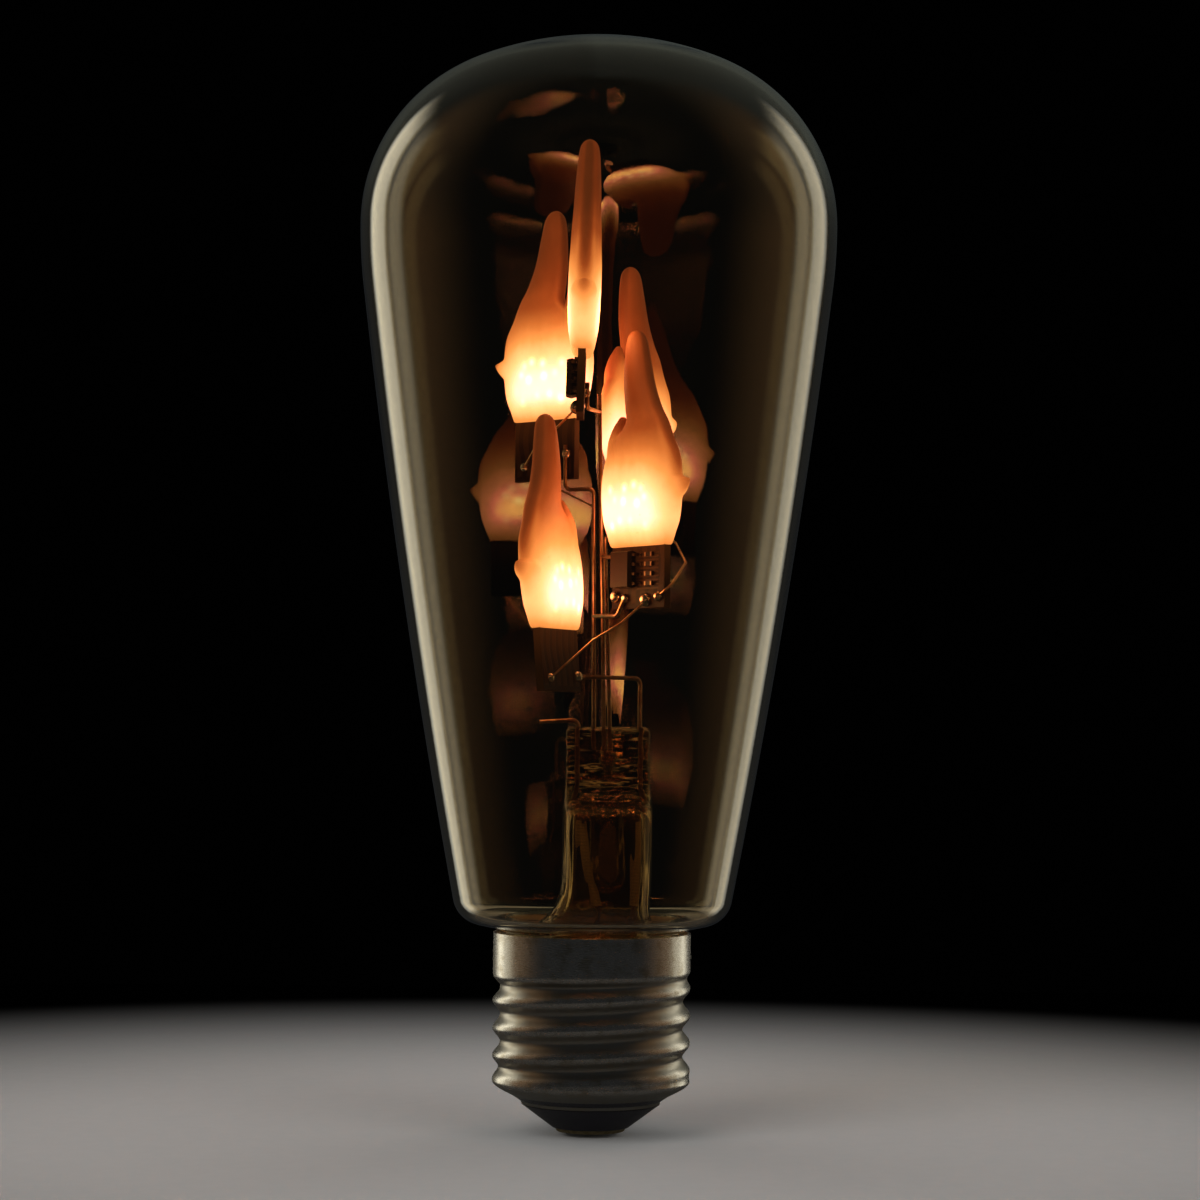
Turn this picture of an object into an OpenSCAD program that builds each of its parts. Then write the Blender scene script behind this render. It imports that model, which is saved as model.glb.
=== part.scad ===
// LED flame bulb: a clear pear shaped bulb with five frosted flame covers that climb round a bundle of posts.
// The origin is on the axis at the top edge of the screw shell, and +Z runs up through the dome.
// An azimuth of 0 points to the front, -Y, and grows towards +X.

/* [Glass envelope] */
// Largest outside diameter of the glass
glass_d = 64; // [62:0.5:70]
// Height of the dome's top above the screw shell
glass_h = 119.6; // [117:0.1:121]
// Height of the dome above the largest diameter
dome_h = 25.1; // [24.1:0.1:26.6]
// Radius of the shoulder between the dome and the side
shoulder_r = 23.3; // [21:0.1:23.8]
// Radius of the short arc under the largest diameter
belly_r = 70; // [50:1:90]
// Radius of the long arc down the side
side_r = 1200; // [900:10:2000]
// Outside diameter of the glass at the lower corner
collar_d = 37.1; // [36:0.1:38.5]
// Radius of the rounded lower corner
corner_r = 4; // [3:0.1:4.5]
// Height where the lower corner starts
corner_z = 4.2; // [3.8:0.1:6]
// Thickness of the glass
glass_wall = 0.9; // [0.6:0.05:1.1]
// Outside diameter of the neck inside the screw shell
neck_d = 24.6; // [23.6:0.1:25]
// Depth of the neck below the top edge of the screw shell
neck_depth = 4.5; // [4:0.1:4.8]

/* [Screw cap] */
// Outside diameter of the screw shell
shell_d = 26.3; // [26:0.05:26.45]
// Thickness of the shell's metal
shell_wall = 0.4; // [0.25:0.05:0.4]
// Length of the shell's straight part
shell_h = 20; // [19.5:0.1:21]
// Diameter of the shell's turned-in lower lip
lip_d = 18.4; // [17:0.1:19]
// Height of the shell's tapered end
taper_h = 2.6; // [2:0.1:3]
// Height of the black insulator below the lip
insulator_h = 3.1; // [2.5:0.1:4]
// Diameter of the centre contact
contact_d = 9.6; // [9:0.1:10.5]
// Thickness of the centre contact
contact_t = 0.5; // [0.3:0.05:0.8]
// Height of the solder drop on the contact
drop_h = 0.6; // [0.4:0.05:0.8]

/* [Stem] */
// Sideways offset of the stem from the axis
stem_x = 1.9; // [1.2:0.1:2.1]
// Outside radius of the stem tube
stem_r = 6; // [5.9:0.05:6.3]
// Thickness of the stem's glass
stem_wall = 0.9; // [0.7:0.05:1]
// Height of the top of the press
press_z = 27.4; // [26.5:0.1:28.5]
// Height where the press is at its full flatness
press_base_z = 20; // [19.5:0.1:20.5]
// Thickness of the press
press_t = 4; // [3.6:0.1:4.4]
// Outside radius of the exhaust tube
exhaust_r = 2.3; // [2:0.05:2.35]
// Radius of the exhaust tube's bore
exhaust_bore = 1.4; // [1:0.05:1.6]
// Height of the sealed tip of the exhaust tube
tip_z = 5.2; // [4:0.1:6]
// Height of the exhaust hole in the press
hole_z = 22.9; // [22:0.1:23.5]

/* [Wires] */
// Radius of the posts, arms and leads
wire_r = 0.28; // [0.22:0.01:0.32]
// Radius of the thin jumpers
jumper_r = 0.15; // [0.1:0.01:0.18]
// Inner bend radius of the thick wires
wire_bend = 0.9; // [0.6:0.1:1.1]
// Outside radius of the sleeves on the leads
sleeve_r = 0.6; // [0.5:0.02:0.64]
// Height of the main post's top
post_z = 72; // [71:0.1:73]

/* [Flame modules] */
// Height of a flame cover
flame_h = 28.8; // [26:0.1:29.5]
// Largest thickness of a flame cover
flame_t = 4.3; // [3.8:0.1:4.6]
// Width of a circuit board
board_w = 11.1; // [10.5:0.1:11.5]
// Thickness of a circuit board
board_t = 1; // [0.8:0.05:1.2]
// Length of board that shows below its flame
board_tail = 8; // [7.6:0.1:8.4]
// Length of board inside its flame
board_head = 11.6; // [11.2:0.1:12]
// Width and height of one LED chip
led_size = [1.6, 0.8]; // [0.6:0.1:2]
// How far one LED chip stands off the board
led_t = 0.45; // [0.3:0.05:0.5]
// Number of LED chips in each row
led_columns = 4; // [3:1:4]
// Number of rows of LED chips on each face
led_rows = 3; // [2:1:3]

/* [Driver] */
// Outside radius of the insulating driver cup
cup_r = 11.5; // [11:0.1:11.6]
// Thickness of the cup's wall
cup_wall = 0.6; // [0.5:0.1:0.8]
// Height of the driver board's top face
driver_z = -9; // [-10:0.1:-8.5]
// Thickness of the driver board
driver_t = 1; // [0.8:0.1:1.2]
// Diameter of the filter capacitor
capacitor_d = 8; // [6.3:0.1:8]
// Height of the filter capacitor
capacitor_h = 8.6; // [7:0.1:9]

/* [Hidden] */
$fn = 64;

// Clearance round a piece that sits in another
fit = 0.05;
// Extra length of a cut past the face that it leaves
over = 0.5;

// Each module: azimuth, distance of the board's middle from the axis, height of the flame's foot,
// sideways offset, and sideways lean. They are numbered up the spiral.
MODULES = [
    [-25, 10.1, 39.9, -1, 5],
    [37, 9.9, 50.9, 0, 0],
    [145, 9.6, 61.5, 0, -1],
    [-132, 9.2, 68.8, 0, 0],
    [0, 9.7, 76, -2, -1.5],
];

function unit(v) = v / norm(v);
function on_arc(c, r, a) = [c[0] + r * cos(a), c[1] + r * sin(a)];
function arc(c, r, from, to, steps) = [for (i = [0:steps]) on_arc(c, r, from + (to - from) * i / steps)];

// A point of a module, given outwards from the board's middle, across the board, and up from the flame's foot.
// The face with the control chip is on the negative side across.
function on_module(i, out, across, up) =
    let (m = MODULES[i], a = m[0], lean = m[4])
    let (side = m[3] + across * cos(lean) - up * sin(lean))
    [
        (m[1] + out) * sin(a) + side * cos(a),
        -(m[1] + out) * cos(a) + side * sin(a),
        m[2] + across * sin(lean) + up * cos(lean),
    ];

// Places a shape drawn with +X outwards from the board's middle and +Z up from the flame's foot.
module at_module(i) {
    m = MODULES[i];
    translate([0, 0, m[2]])
        rotate([0, 0, m[0] - 90])
            translate([m[1], m[3], 0])
                rotate([m[4], 0, 0])
                    children();
}

// Turns +Z to the direction d.
module aim(d) {
    rotate([0, acos(d[2] / norm(d)), atan2(d[1], d[0])])
        children();
}

// A straight round wire from a to b.
module rod(a, b, r) {
    translate(a)
        aim(b - a)
            cylinder(r = r, h = norm(b - a));
}

// How much of a straight run a bend at p takes up.
function turn_at(a, p, b) = acos(unit(p - a) * unit(b - p));
function taken(a, p, b, bend) = bend * tan(turn_at(a, p, b) / 2);

// The round bend of a wire at p, between runs from a and to b.
module elbow(a, p, b, bend, r) {
    along = unit(p - a);
    axis = unit(cross(along, unit(b - p)));
    out = cross(along, axis);
    c = p - along * taken(a, p, b, bend) - out * bend;
    multmatrix([
        [out[0], along[0], axis[0], c[0]],
        [out[1], along[1], axis[1], c[1]],
        [out[2], along[2], axis[2], c[2]],
        [0, 0, 0, 1],
    ])
        rotate_extrude(angle = turn_at(a, p, b))
            translate([bend, 0])
                circle(r = r);
}

// A round wire through the points of a route, with a true bend at each inner point. A straight run reaches
// a little way into the bends beside it, which are that much thicker that they enclose its ends.
grip = 0.05;
swell = 0.01;
module bent_wire(route, r, bend) {
    last = len(route) - 1;
    for (i = [0:last - 1]) {
        d = unit(route[i + 1] - route[i]);
        start = i == 0 ? 0 : taken(route[i - 1], route[i], route[i + 1], bend) - grip;
        end = i == last - 1 ? 0 : taken(route[i], route[i + 1], route[i + 2], bend) - grip;
        rod(route[i] + d * start, route[i + 1] - d * end, r);
    }
    if (last > 1)
        for (i = [1:last - 1])
            elbow(route[i - 1], route[i], route[i + 1], bend, r + swell);
}

// A closed mesh through rings of points that all have the same count.
module loft(rings) {
    n = len(rings[0]);
    last = len(rings) - 1;
    sides = [
        for (i = [0:last - 1])
            for (j = [0:n - 1])
                let (k = (j + 1) % n)
                    each [
                        [i * n + j, (i + 1) * n + j, (i + 1) * n + k],
                        [i * n + j, (i + 1) * n + k, i * n + k],
                    ],
    ];
    foot = [[for (j = [0:n - 1]) j]];
    top = [[for (j = [0:n - 1]) last * n + n - 1 - j]];
    polyhedron(points = [for (ring = rings) each ring], faces = concat(sides, foot, top));
}

// The glass's outer profile as points from the dome down to the neck, set in by a depth.
bulb_r = glass_d / 2;
belly_z = glass_h - dome_h;
shoulder_c = [bulb_r - shoulder_r, belly_z];
dome_r = (pow(shoulder_c[0], 2) + pow(dome_h, 2) - pow(shoulder_r, 2)) / (2 * (dome_h - shoulder_r));
dome_c = [0, glass_h - dome_r];
shoulder_a = atan2(shoulder_c[1] - dome_c[1], shoulder_c[0] - dome_c[0]);
belly_c = [bulb_r - belly_r, belly_z];
// The short arc turns until the long arc, which touches it, ends on the lower corner.
to_collar = [collar_d / 2, corner_z] - belly_c;
arcs_apart = side_r - belly_r;
collar_a = acos(
    (pow(norm(to_collar), 2) + pow(arcs_apart, 2) - pow(side_r, 2)) / (2 * norm(to_collar) * arcs_apart)
);
belly_turn = collar_a - atan2(to_collar[1], to_collar[0]) - 180;
side_c = on_arc(belly_c, belly_r - side_r, -belly_turn);
side_a = asin((side_c[1] - corner_z) / side_r);
corner_c = on_arc(side_c, side_r - corner_r, -side_a);
corner_end = 78;
neck_r = neck_d / 2;

function glass_line(depth) = concat(
    arc(dome_c, dome_r - depth, 90, shoulder_a, 8),
    arc(shoulder_c, shoulder_r - depth, shoulder_a, 0, 10),
    arc(belly_c, belly_r - depth, 0, -belly_turn, 3),
    arc(side_c, side_r - depth, -belly_turn, -side_a, 8),
    arc(corner_c, corner_r - depth, -side_a, -corner_end, 6)
);

// The lower corner runs in to the neck at this height, set in by a depth.
function neck_top(depth) =
    let (p = on_arc(corner_c, corner_r - depth, -corner_end))
    p[1] - (p[0] - neck_r + depth) / tan(corner_end);

function reversed(list) = [for (i = [len(list) - 1:-1:0]) list[i]];

module glass_envelope() {
    inner_r = neck_r - glass_wall;
    color([0.86, 0.8, 0.66, 0.35])
        rotate_extrude()
            polygon(concat(
                glass_line(0),
                [[neck_r, neck_top(0)], [neck_r, -neck_depth], [inner_r, -neck_depth], [inner_r, neck_top(glass_wall)]],
                reversed(glass_line(glass_wall))
            ));
}

// An oval ring of points, from an ellipse at 2 to nearly a rectangle at 5.
function signed_power(v, p) = sign(v) * pow(abs(v), p);
function oval(x, a, b, z, square, count) = [
    for (j = [0:count - 1])
        let (t = 360 * (j + 0.5) / count)
            [x + a * signed_power(cos(t), 2 / square), b * signed_power(sin(t), 2 / square), z],
];

// The stem's glass, from the top of its cavity down to the rim of the flare and up outside to the press.
rim_h = 0.8;
rim_z = -neck_depth - rim_h;
rim_r = neck_r - 0.1;
cavity_z = press_base_z - 2.4;
press_a = stem_r - 0.35;
stem_sides = 36;
hole_r = 0.9;

// The stem leans over to its own axis between the rim and the tube.
function lean(z) = let (t = min(max((z - rim_z) / 14, 0), 1)) stem_x * t * t * (3 - 2 * t);
function round_ring(r, z) = oval(lean(z), r, r, z, 2, stem_sides);

// Flare: each height with its share of the way from the tube's radius to the rim's.
FLARE = [[-3.8, 0.742], [-3, 0.581], [-2, 0.435], [-0.6, 0.29], [1.4, 0.145], [4, 0.04], [7, 0]];
function flare_r(p) = stem_r + (rim_r - stem_r) * p[1];

module stem_glass() {
    inside = concat(
        [
            oval(stem_x, stem_r - 2, 1.3, cavity_z, 2.6, stem_sides),
            oval(stem_x, stem_r - stem_wall - 0.2, 3.3, cavity_z - 1.3, 2.2, stem_sides),
            round_ring(stem_r - stem_wall, cavity_z - 3.1),
        ],
        [for (p = reversed(FLARE)) round_ring(flare_r(p) - stem_wall, p[0])],
        [round_ring(rim_r - 1, rim_z)]
    );
    outside = concat(
        [round_ring(rim_r, rim_z), round_ring(rim_r, -neck_depth), round_ring(rim_r - 1, -neck_depth)],
        [for (p = FLARE) round_ring(flare_r(p), p[0])],
        [
            round_ring(stem_r, press_base_z - 4.5),
            oval(stem_x, stem_r - 0.1, 4.3, press_base_z - 2.8, 2.3, stem_sides),
            oval(stem_x, stem_r - 0.25, 2.8, press_base_z - 1.4, 3, stem_sides),
            oval(stem_x, press_a, press_t / 2, press_base_z, 4, stem_sides),
            oval(stem_x, press_a, press_t / 2, press_z - 0.6, 4, stem_sides),
            oval(stem_x, press_a - 0.3, press_t / 2 - 0.3, press_z, 4, stem_sides),
        ]
    );
    color([0.8, 0.72, 0.56, 0.5])
        difference() {
            loft(concat(inside, outside));
            translate([stem_x, 0, cavity_z - 3])
                cylinder(r = exhaust_r + fit, h = 3);
            translate([stem_x, 0, cavity_z - over])
                cylinder(r = hole_r, h = hole_z - cavity_z + over);
            translate([stem_x, 0, hole_z])
                rotate([90, 0, 0])
                    cylinder(r = hole_r, h = press_t / 2 + over);
            rod(main_foot, on_main(press_z + over), wire_r + fit);
            rod(REAR_POST[0], on_line(REAR_POST[0], REAR_POST[1], press_z + over), wire_r + fit);
            rod(SIDE_POST[0], on_line(SIDE_POST[0], SIDE_POST[1], press_z + over), wire_r + fit);
            for (lead = [LEFT_LEAD, RIGHT_LEAD])
                rod(lead[2] - [0, 0, 2], [lead[2][0], lead[2][1], press_z + over], wire_r + fit);
        }
}

// How far each lead stands from the stem's axis in the press.
left_in = stem_r - 2;
right_in = stem_r - 1.8;

// The exhaust tube hangs in the stem and ends in a sealed tip, swollen by a third of the room to the left sleeve.
tip_r = exhaust_r + (left_in - sleeve_r - exhaust_r) / 3;

module exhaust_tube() {
    outside = concat(
        [[exhaust_r, cavity_z], [exhaust_r, tip_z + 2 * tip_r]],
        arc([0, tip_z + tip_r], tip_r, 20, -90, 8)
    );
    color([0.8, 0.72, 0.56, 0.5])
        translate([stem_x, 0, 0])
            rotate_extrude()
                polygon(concat(
                    outside,
                    [[0, tip_z + 1.4], [exhaust_bore * 0.7, tip_z + 2], [exhaust_bore, tip_z + 3.4]],
                    [[exhaust_bore, cavity_z]]
                ));
}

// A point at height z on the line through a and b.
function on_line(a, b, z) = a + (b - a) * (z - a[2]) / (b[2] - a[2]);

// The posts stand in the press and lean back to the bulb's axis.
foot_z = press_z - 3.2;
main_foot = [stem_x - 0.5, 0, foot_z];
main_top = [0.3, 0, post_z];
function on_main(z) = on_line(main_foot, main_top, z);

// Where the middle of a wire runs when it lies on a board's face.
on_face = board_t / 2 + wire_r;
thin_face = board_t / 2 + jumper_r;

REAR_POST = [
    [stem_x - 1.9, 0.6, foot_z],
    [-0.35, 0.7, 59.3],
    on_module(3, -4.2, on_face, 59.3 - MODULES[3][2]),
    on_module(3, -4.2, on_face, -3.4),
];
SIDE_POST = [
    [stem_x + 0.3, 0.5, foot_z],
    [1.2, 1, 52.9],
    on_module(2, -4.4, on_face, 52.9 - MODULES[2][2]),
    on_module(2, -4.4, on_face, -4.6),
];
// Each lead runs up from the driver board, through its sleeve and the press. In a slimmer stem the left one
// starts further to the left, so that its sleeve still clears the exhaust tube.
left_x = stem_x - left_in;
right_x = stem_x + right_in;
left_start = [stem_x + 1.5 * stem_r - 10.1, 2 - stem_r];
right_start = [stem_x + 0.81 * right_in, -1.6];
LEFT_LEAD = [
    [each left_start, driver_z],
    [each left_start, 2.5],
    [left_x, -0.3, cavity_z - 1.4],
    [left_x, -0.3, press_z + 0.9],
    [left_x - 5.2, -0.6, press_z + 0.6],
];
RIGHT_LEAD = [
    [each right_start, driver_z],
    [each right_start, 2.5],
    [right_x, 0, cavity_z - 1.4],
    [right_x, 0, 33.9],
    on_module(0, -4.6, on_face, 33.9 - MODULES[0][2]),
];
TOP_ARM = [on_main(69.6), on_module(4, -4.9, on_face, 69.6 - MODULES[4][2]), on_module(4, -4.9, on_face, -3)];
UPPER_ARM = [on_main(50.2), on_module(1, -7.2, on_face, 50 - MODULES[1][2]), on_module(1, -4.2, on_face, -1.3)];
LOWER_ARM = [
    on_line(REAR_POST[0], REAR_POST[1], 42.2),
    on_module(1, -3.8, -on_face - 0.2, -8.9),
    on_module(1, -2.5, -on_face, -6.6),
];
JUMPER_1_2 = [
    on_module(0, 3.6, thin_face, -6.3),
    [-0.2, -11.8, 38.6],
    [3.3, -11, 40.8],
    on_module(1, 1.8, -thin_face, -7.1),
];
JUMPER_2_3 = [
    on_module(1, 4.4, -thin_face, -6.5),
    on_module(1, board_w / 2 + 1.65, -0.7, -5.2),
    [11.9, -5, 49.2],
    [10.8, 3, 52.3],
    on_module(2, 4.2, -thin_face, -7.2),
];
JUMPER_4_POST = [on_module(3, 1, thin_face + 0.15, -7.7), on_line(REAR_POST[0], REAR_POST[1], 56.9)];
JUMPER_5_4 = [
    on_module(4, -4.1, -thin_face, -6.6),
    [-5.2, -3.6, 67.2],
    [-8.2, 3, 65.3],
    on_module(3, 3.6, thin_face, -6),
];
jumper_bend = 1.2;

module wire(route) {
    color([0.72, 0.5, 0.33])
        bent_wire(route, wire_r, wire_bend);
}

// An arm that is welded to a post is coped round it.
module arm(route) {
    color([0.72, 0.5, 0.33])
        difference() {
            bent_wire(route, wire_r, wire_bend);
            children();
        }
}

module main_post() {
    color([0.72, 0.5, 0.33])
        rod(main_foot, main_top, wire_r);
}

module main_post_core() {
    rod(main_foot, main_top, wire_r + fit / 2);
}

module rear_post_core() {
    rod(REAR_POST[0], on_line(REAR_POST[0], REAR_POST[1], 58), wire_r + fit / 2);
}

module top_arm() {
    arm(TOP_ARM)
        main_post_core();
}

module upper_arm() {
    arm(UPPER_ARM)
        main_post_core();
}

module lower_arm() {
    arm(LOWER_ARM)
        rear_post_core();
}

module jumper(route) {
    color([0.66, 0.45, 0.3])
        bent_wire(route, jumper_r, jumper_bend);
}

module jumper_4_post() {
    color([0.66, 0.45, 0.3])
        difference() {
            bent_wire(JUMPER_4_POST, jumper_r, jumper_bend);
            rear_post_core();
        }
}

// A sleeve slides over the slanted run of a lead inside the stem.
module sleeve(lead) {
    low = on_line(lead[1], lead[2], 3.6);
    high = on_line(lead[1], lead[2], cavity_z - 2.6);
    d = unit(high - low);
    color([0.62, 0.55, 0.45])
        difference() {
            rod(low, high, sleeve_r);
            rod(low - d, high + d, wire_r + fit);
        }
}

// Flame outline: each height as a share of the flame's height, then its inner edge, outer edge, half
// thickness as a share of the largest, and squareness.
flame_foot = board_w / 2 + 0.45;
FLAME = [
    [0, -flame_foot, flame_foot, 0.54, 5],
    [0.045, -flame_foot - 0.9, flame_foot + 0.8, 0.75, 3.4],
    [0.13, -7.9, 7.8, 0.93, 2.6],
    [0.27, -8.2, 8, 1, 2.2],
    [0.4, -7.5, 7.7, 1, 2.1],
    [0.49, -5.6, 6.3, 0.95, 2],
    [0.57, -2.9, 5, 0.91, 2],
    [0.64, -2.9, 3.5, 0.86, 2],
    [0.745, -3.2, 2, 0.81, 2],
    [0.87, -3.1, 1, 0.72, 2],
    [0.95, -2.8, 0.35, 0.62, 2],
    [0.985, -2.3, -0.3, 0.44, 2],
    [1, -1.7, -0.9, 0.2, 2],
];
// The inner lobe and the outer horn: points out from the board's middle and up from the foot, with radii.
LOBE = [[-4.7, 11.5, 1.8], [-4.9, 13.8, 1.6], [-4.7, 15.5, 1.2], [-4.3, 16.8, 0.75], [-4.1, 17.6, 0.4]];
HORN = [[6.2, 6.6, 1.6], [7.7, 7.1, 1.35], [8.8, 7.8, 0.9], [9.55, 8.5, 0.45], [10, 9, 0.18]];
flame_sides = 24;

// A value between two keys, on a smooth curve through the keys beside them.
function between(a, b, c, d, t) =
    b + (c - a) * t / 2 + (a - 2.5 * b + 2 * c - d / 2) * t * t + (1.5 * (b - c) + (d - a) / 2) * t * t * t;
function flame_key(s) =
    let (last = len(FLAME) - 1, i = min(floor(s), last - 1))
    between(FLAME[max(i - 1, 0)], FLAME[i], FLAME[i + 1], FLAME[min(i + 2, last)], s - i);
function flame_ring(k) =
    oval((k[1] + k[2]) / 2, (k[2] - k[1]) / 2, k[3] * flame_t / 2, k[0] * flame_h, k[4], flame_sides);

module tongue(points) {
    for (i = [0:len(points) - 2])
        hull()
            for (p = [points[i], points[i + 1]])
                translate([p[0], 0, p[1]])
                    sphere(r = p[2], $fn = 12);
}

module flame(i) {
    recess_w = led_columns * 2.4 + 0.4;
    recess_t = board_t + 2 * (led_t + fit);
    color([0.95, 0.62, 0.36])
        at_module(i)
            difference() {
                union() {
                    loft([for (s = [0:0.5:len(FLAME) - 1]) flame_ring(flame_key(s))]);
                    tongue(LOBE);
                    tongue(HORN);
                }
                translate([-board_w / 2 - fit, -board_t / 2 - fit, -over])
                    cube([board_w + 2 * fit, board_t + 2 * fit, board_head + over + fit]);
                translate([-recess_w / 2, -recess_t / 2, row_z(0) - 1])
                    cube([recess_w, recess_t, row_z(led_rows - 1) - row_z(0) + 2]);
            }
}

module board(i) {
    color([0.5, 0.22, 0.12])
        at_module(i)
            translate([-board_w / 2, -board_t / 2, -board_tail])
                cube([board_w, board_t, board_tail + board_head]);
}

// The LED chips sit in staggered rows on both faces.
led_pitch = 2.3;
function row_z(row) = 3.5 + 2.4 * row;

module leds(i) {
    color([1, 0.9, 0.5])
        at_module(i)
            for (side = [-1, 1], row = [0:led_rows - 1], column = [0:led_columns - 1]) {
                x = (column - (led_columns - 1) / 2) * led_pitch + (row % 2 - 0.5) * 0.7;
                translate([x, side * (board_t + led_t) / 2, row_z(row)])
                    cube([led_size[0], led_t, led_size[1]], center = true);
            }
}

// A moulded chip with gull-wing legs on two sides, lying on the plane z = 0.
leg_pitch = 1.27;
module chip(width, length, height, legs) {
    leg = [
        [0, 0.75], [0.45, 0.75], [0.6, 0.2], [1, 0.2], [1, 0], [0.45, 0], [0.3, 0.55], [0, 0.55],
    ];
    translate([-width / 2, -length / 2, 0.1])
        cube([width, length, height - 0.1]);
    for (side = [0, 1], i = [0:legs - 1])
        mirror([side, 0, 0])
            translate([width / 2, (i - (legs - 1) / 2) * leg_pitch + 0.2, 0])
                rotate([90, 0, 0])
                    linear_extrude(0.4)
                        polygon(leg);
}

// Turns what lies on z = 0 on to the board's component face, with its length upright.
module on_component_face(i, out, up) {
    at_module(i)
        translate([out, -board_t / 2, up])
            rotate([90, 0, 0])
                children();
}

module control_chip(i) {
    color([0.12, 0.09, 0.07])
        on_component_face(i, -2.2, -2.85)
            chip(3.9, 4.9, 1.5, 4);
}

module resistors(i) {
    color([0.25, 0.2, 0.16])
        on_component_face(i, 2.6, -2.85)
            for (k = [0:3])
                translate([0, (k - 1.5) * leg_pitch, 0.225])
                    cube([1.6, 0.8, 0.45], center = true);
}

// A drop of solder on a board's face, cut by the board and by the wires that end in it.
module drop(i, out, side, up, r) {
    at_module(i)
        translate([out, side * board_t / 2, up])
            difference() {
                rotate([90, 0, 0])
                    sphere(r = r);
                translate([-r - over, side > 0 ? -2 * r : 0, -r - over])
                    cube([2 * (r + over), 2 * r, 2 * (r + over)]);
            }
}

module solder_1() {
    color([0.8, 0.76, 0.7])
        difference() {
            union() {
                drop(0, -4.6, 1, -6, 0.75);
                drop(0, 3.6, 1, -6.3, 0.6);
            }
            bent_wire(RIGHT_LEAD, wire_r + fit / 2, wire_bend);
            bent_wire(JUMPER_1_2, jumper_r + fit / 2, jumper_bend);
        }
}

module solder_2() {
    color([0.8, 0.76, 0.7])
        difference() {
            union() {
                drop(1, -4.6, -1, -6.3, 0.85);
                drop(1, -2.5, -1, -6.6, 0.65);
                drop(1, 1.8, -1, -6.9, 0.9);
                drop(1, 4.4, -1, -6.5, 0.7);
                drop(1, -4.5, 1, -1.15, 0.65);
            }
            bent_wire(LOWER_ARM, wire_r + fit / 2, wire_bend);
            bent_wire(UPPER_ARM, wire_r + fit / 2, wire_bend);
            bent_wire(JUMPER_1_2, jumper_r + fit / 2, jumper_bend);
            bent_wire(JUMPER_2_3, jumper_r + fit / 2, jumper_bend);
        }
}

module solder_3() {
    color([0.8, 0.76, 0.7])
        difference() {
            union() {
                drop(2, -4.4, 1, -5.6, 0.7);
                drop(2, 4.2, -1, -7.1, 0.6);
            }
            bent_wire(SIDE_POST, wire_r + fit / 2, wire_bend);
            bent_wire(JUMPER_2_3, jumper_r + fit / 2, jumper_bend);
        }
}

module solder_4() {
    color([0.8, 0.76, 0.7])
        difference() {
            union() {
                drop(3, -4.2, 1, -4.6, 0.7);
                drop(3, 1, 1, -7.3, 0.6);
                drop(3, 3.6, 1, -6, 0.65);
            }
            bent_wire(REAR_POST, wire_r + fit / 2, wire_bend);
            bent_wire(JUMPER_4_POST, jumper_r + fit / 2, jumper_bend);
            bent_wire(JUMPER_5_4, jumper_r + fit / 2, jumper_bend);
        }
}

module solder_5() {
    color([0.8, 0.76, 0.7])
        difference() {
            union() {
                drop(4, -4.9, 1, -4.4, 0.7);
                drop(4, -4.1, -1, -6.4, 0.95);
            }
            bent_wire(TOP_ARM, wire_r + fit / 2, wire_bend);
            bent_wire(JUMPER_5_4, jumper_r + fit / 2, jumper_bend);
        }
}

shell_r = shell_d / 2;
shell_in = shell_r - shell_wall;
lip_r = lip_d / 2;
lip_z = -shell_h - taper_h;
contact_z = lip_z - insulator_h;
wire_hole = wire_r + 0.4;

module screw_shell() {
    color([0.8, 0.74, 0.6])
        rotate_extrude()
            polygon([
                [shell_r, 0], [shell_in, 0], [shell_in, -shell_h],
                [lip_r - shell_wall, lip_z], [lip_r, lip_z], [shell_r, -shell_h],
            ]);
}

module cap_insulator() {
    color([0.06, 0.06, 0.07])
        rotate_extrude()
            polygon([
                [wire_hole, -shell_h], [shell_in - fit, -shell_h], [lip_r - shell_wall - fit, lip_z],
                [lip_r - shell_wall - fit, lip_z - fit], [lip_r, lip_z - fit],
                [contact_d / 2 + 0.3, contact_z], [wire_hole, contact_z],
            ]);
}

module centre_contact() {
    color([0.78, 0.7, 0.5])
        rotate_extrude()
            polygon([
                [wire_hole, contact_z], [contact_d / 2, contact_z],
                [contact_d / 2 - 0.3, contact_z - contact_t], [wire_hole, contact_z - contact_t],
            ]);
}

module contact_solder() {
    drop_r = 2;
    ball_r = (drop_r * drop_r + drop_h * drop_h) / (2 * drop_h);
    base_z = contact_z - contact_t;
    color([0.75, 0.75, 0.74])
        difference() {
            translate([0, 0, base_z - drop_h + ball_r])
                sphere(r = ball_r);
            translate([0, 0, base_z + ball_r])
                cube([3 * ball_r, 3 * ball_r, 2 * ball_r], center = true);
        }
}

module neck_cement() {
    color([0.85, 0.82, 0.74])
        rotate_extrude()
            polygon([
                [neck_r + fit, -0.3], [neck_r + fit, -neck_depth],
                [shell_in - fit, -neck_depth], [shell_in - fit, -0.3],
            ]);
}

cup_top = rim_z - 1.2;
ledge_z = driver_z - driver_t;
module driver_cup() {
    color([0.9, 0.9, 0.86])
        rotate_extrude()
            polygon([
                [cup_r, cup_top], [cup_r - cup_wall, cup_top], [cup_r - cup_wall, ledge_z],
                [cup_r - cup_wall - 0.7, ledge_z], [cup_r - cup_wall - 0.7, ledge_z - 1],
                [cup_r - cup_wall, ledge_z - 1.7], [cup_r - cup_wall, -shell_h], [cup_r, -shell_h],
            ]);
}

module driver_board() {
    color([0.1, 0.32, 0.16])
        translate([0, 0, ledge_z])
            cylinder(r = cup_r - cup_wall - fit, h = driver_t);
}

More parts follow.
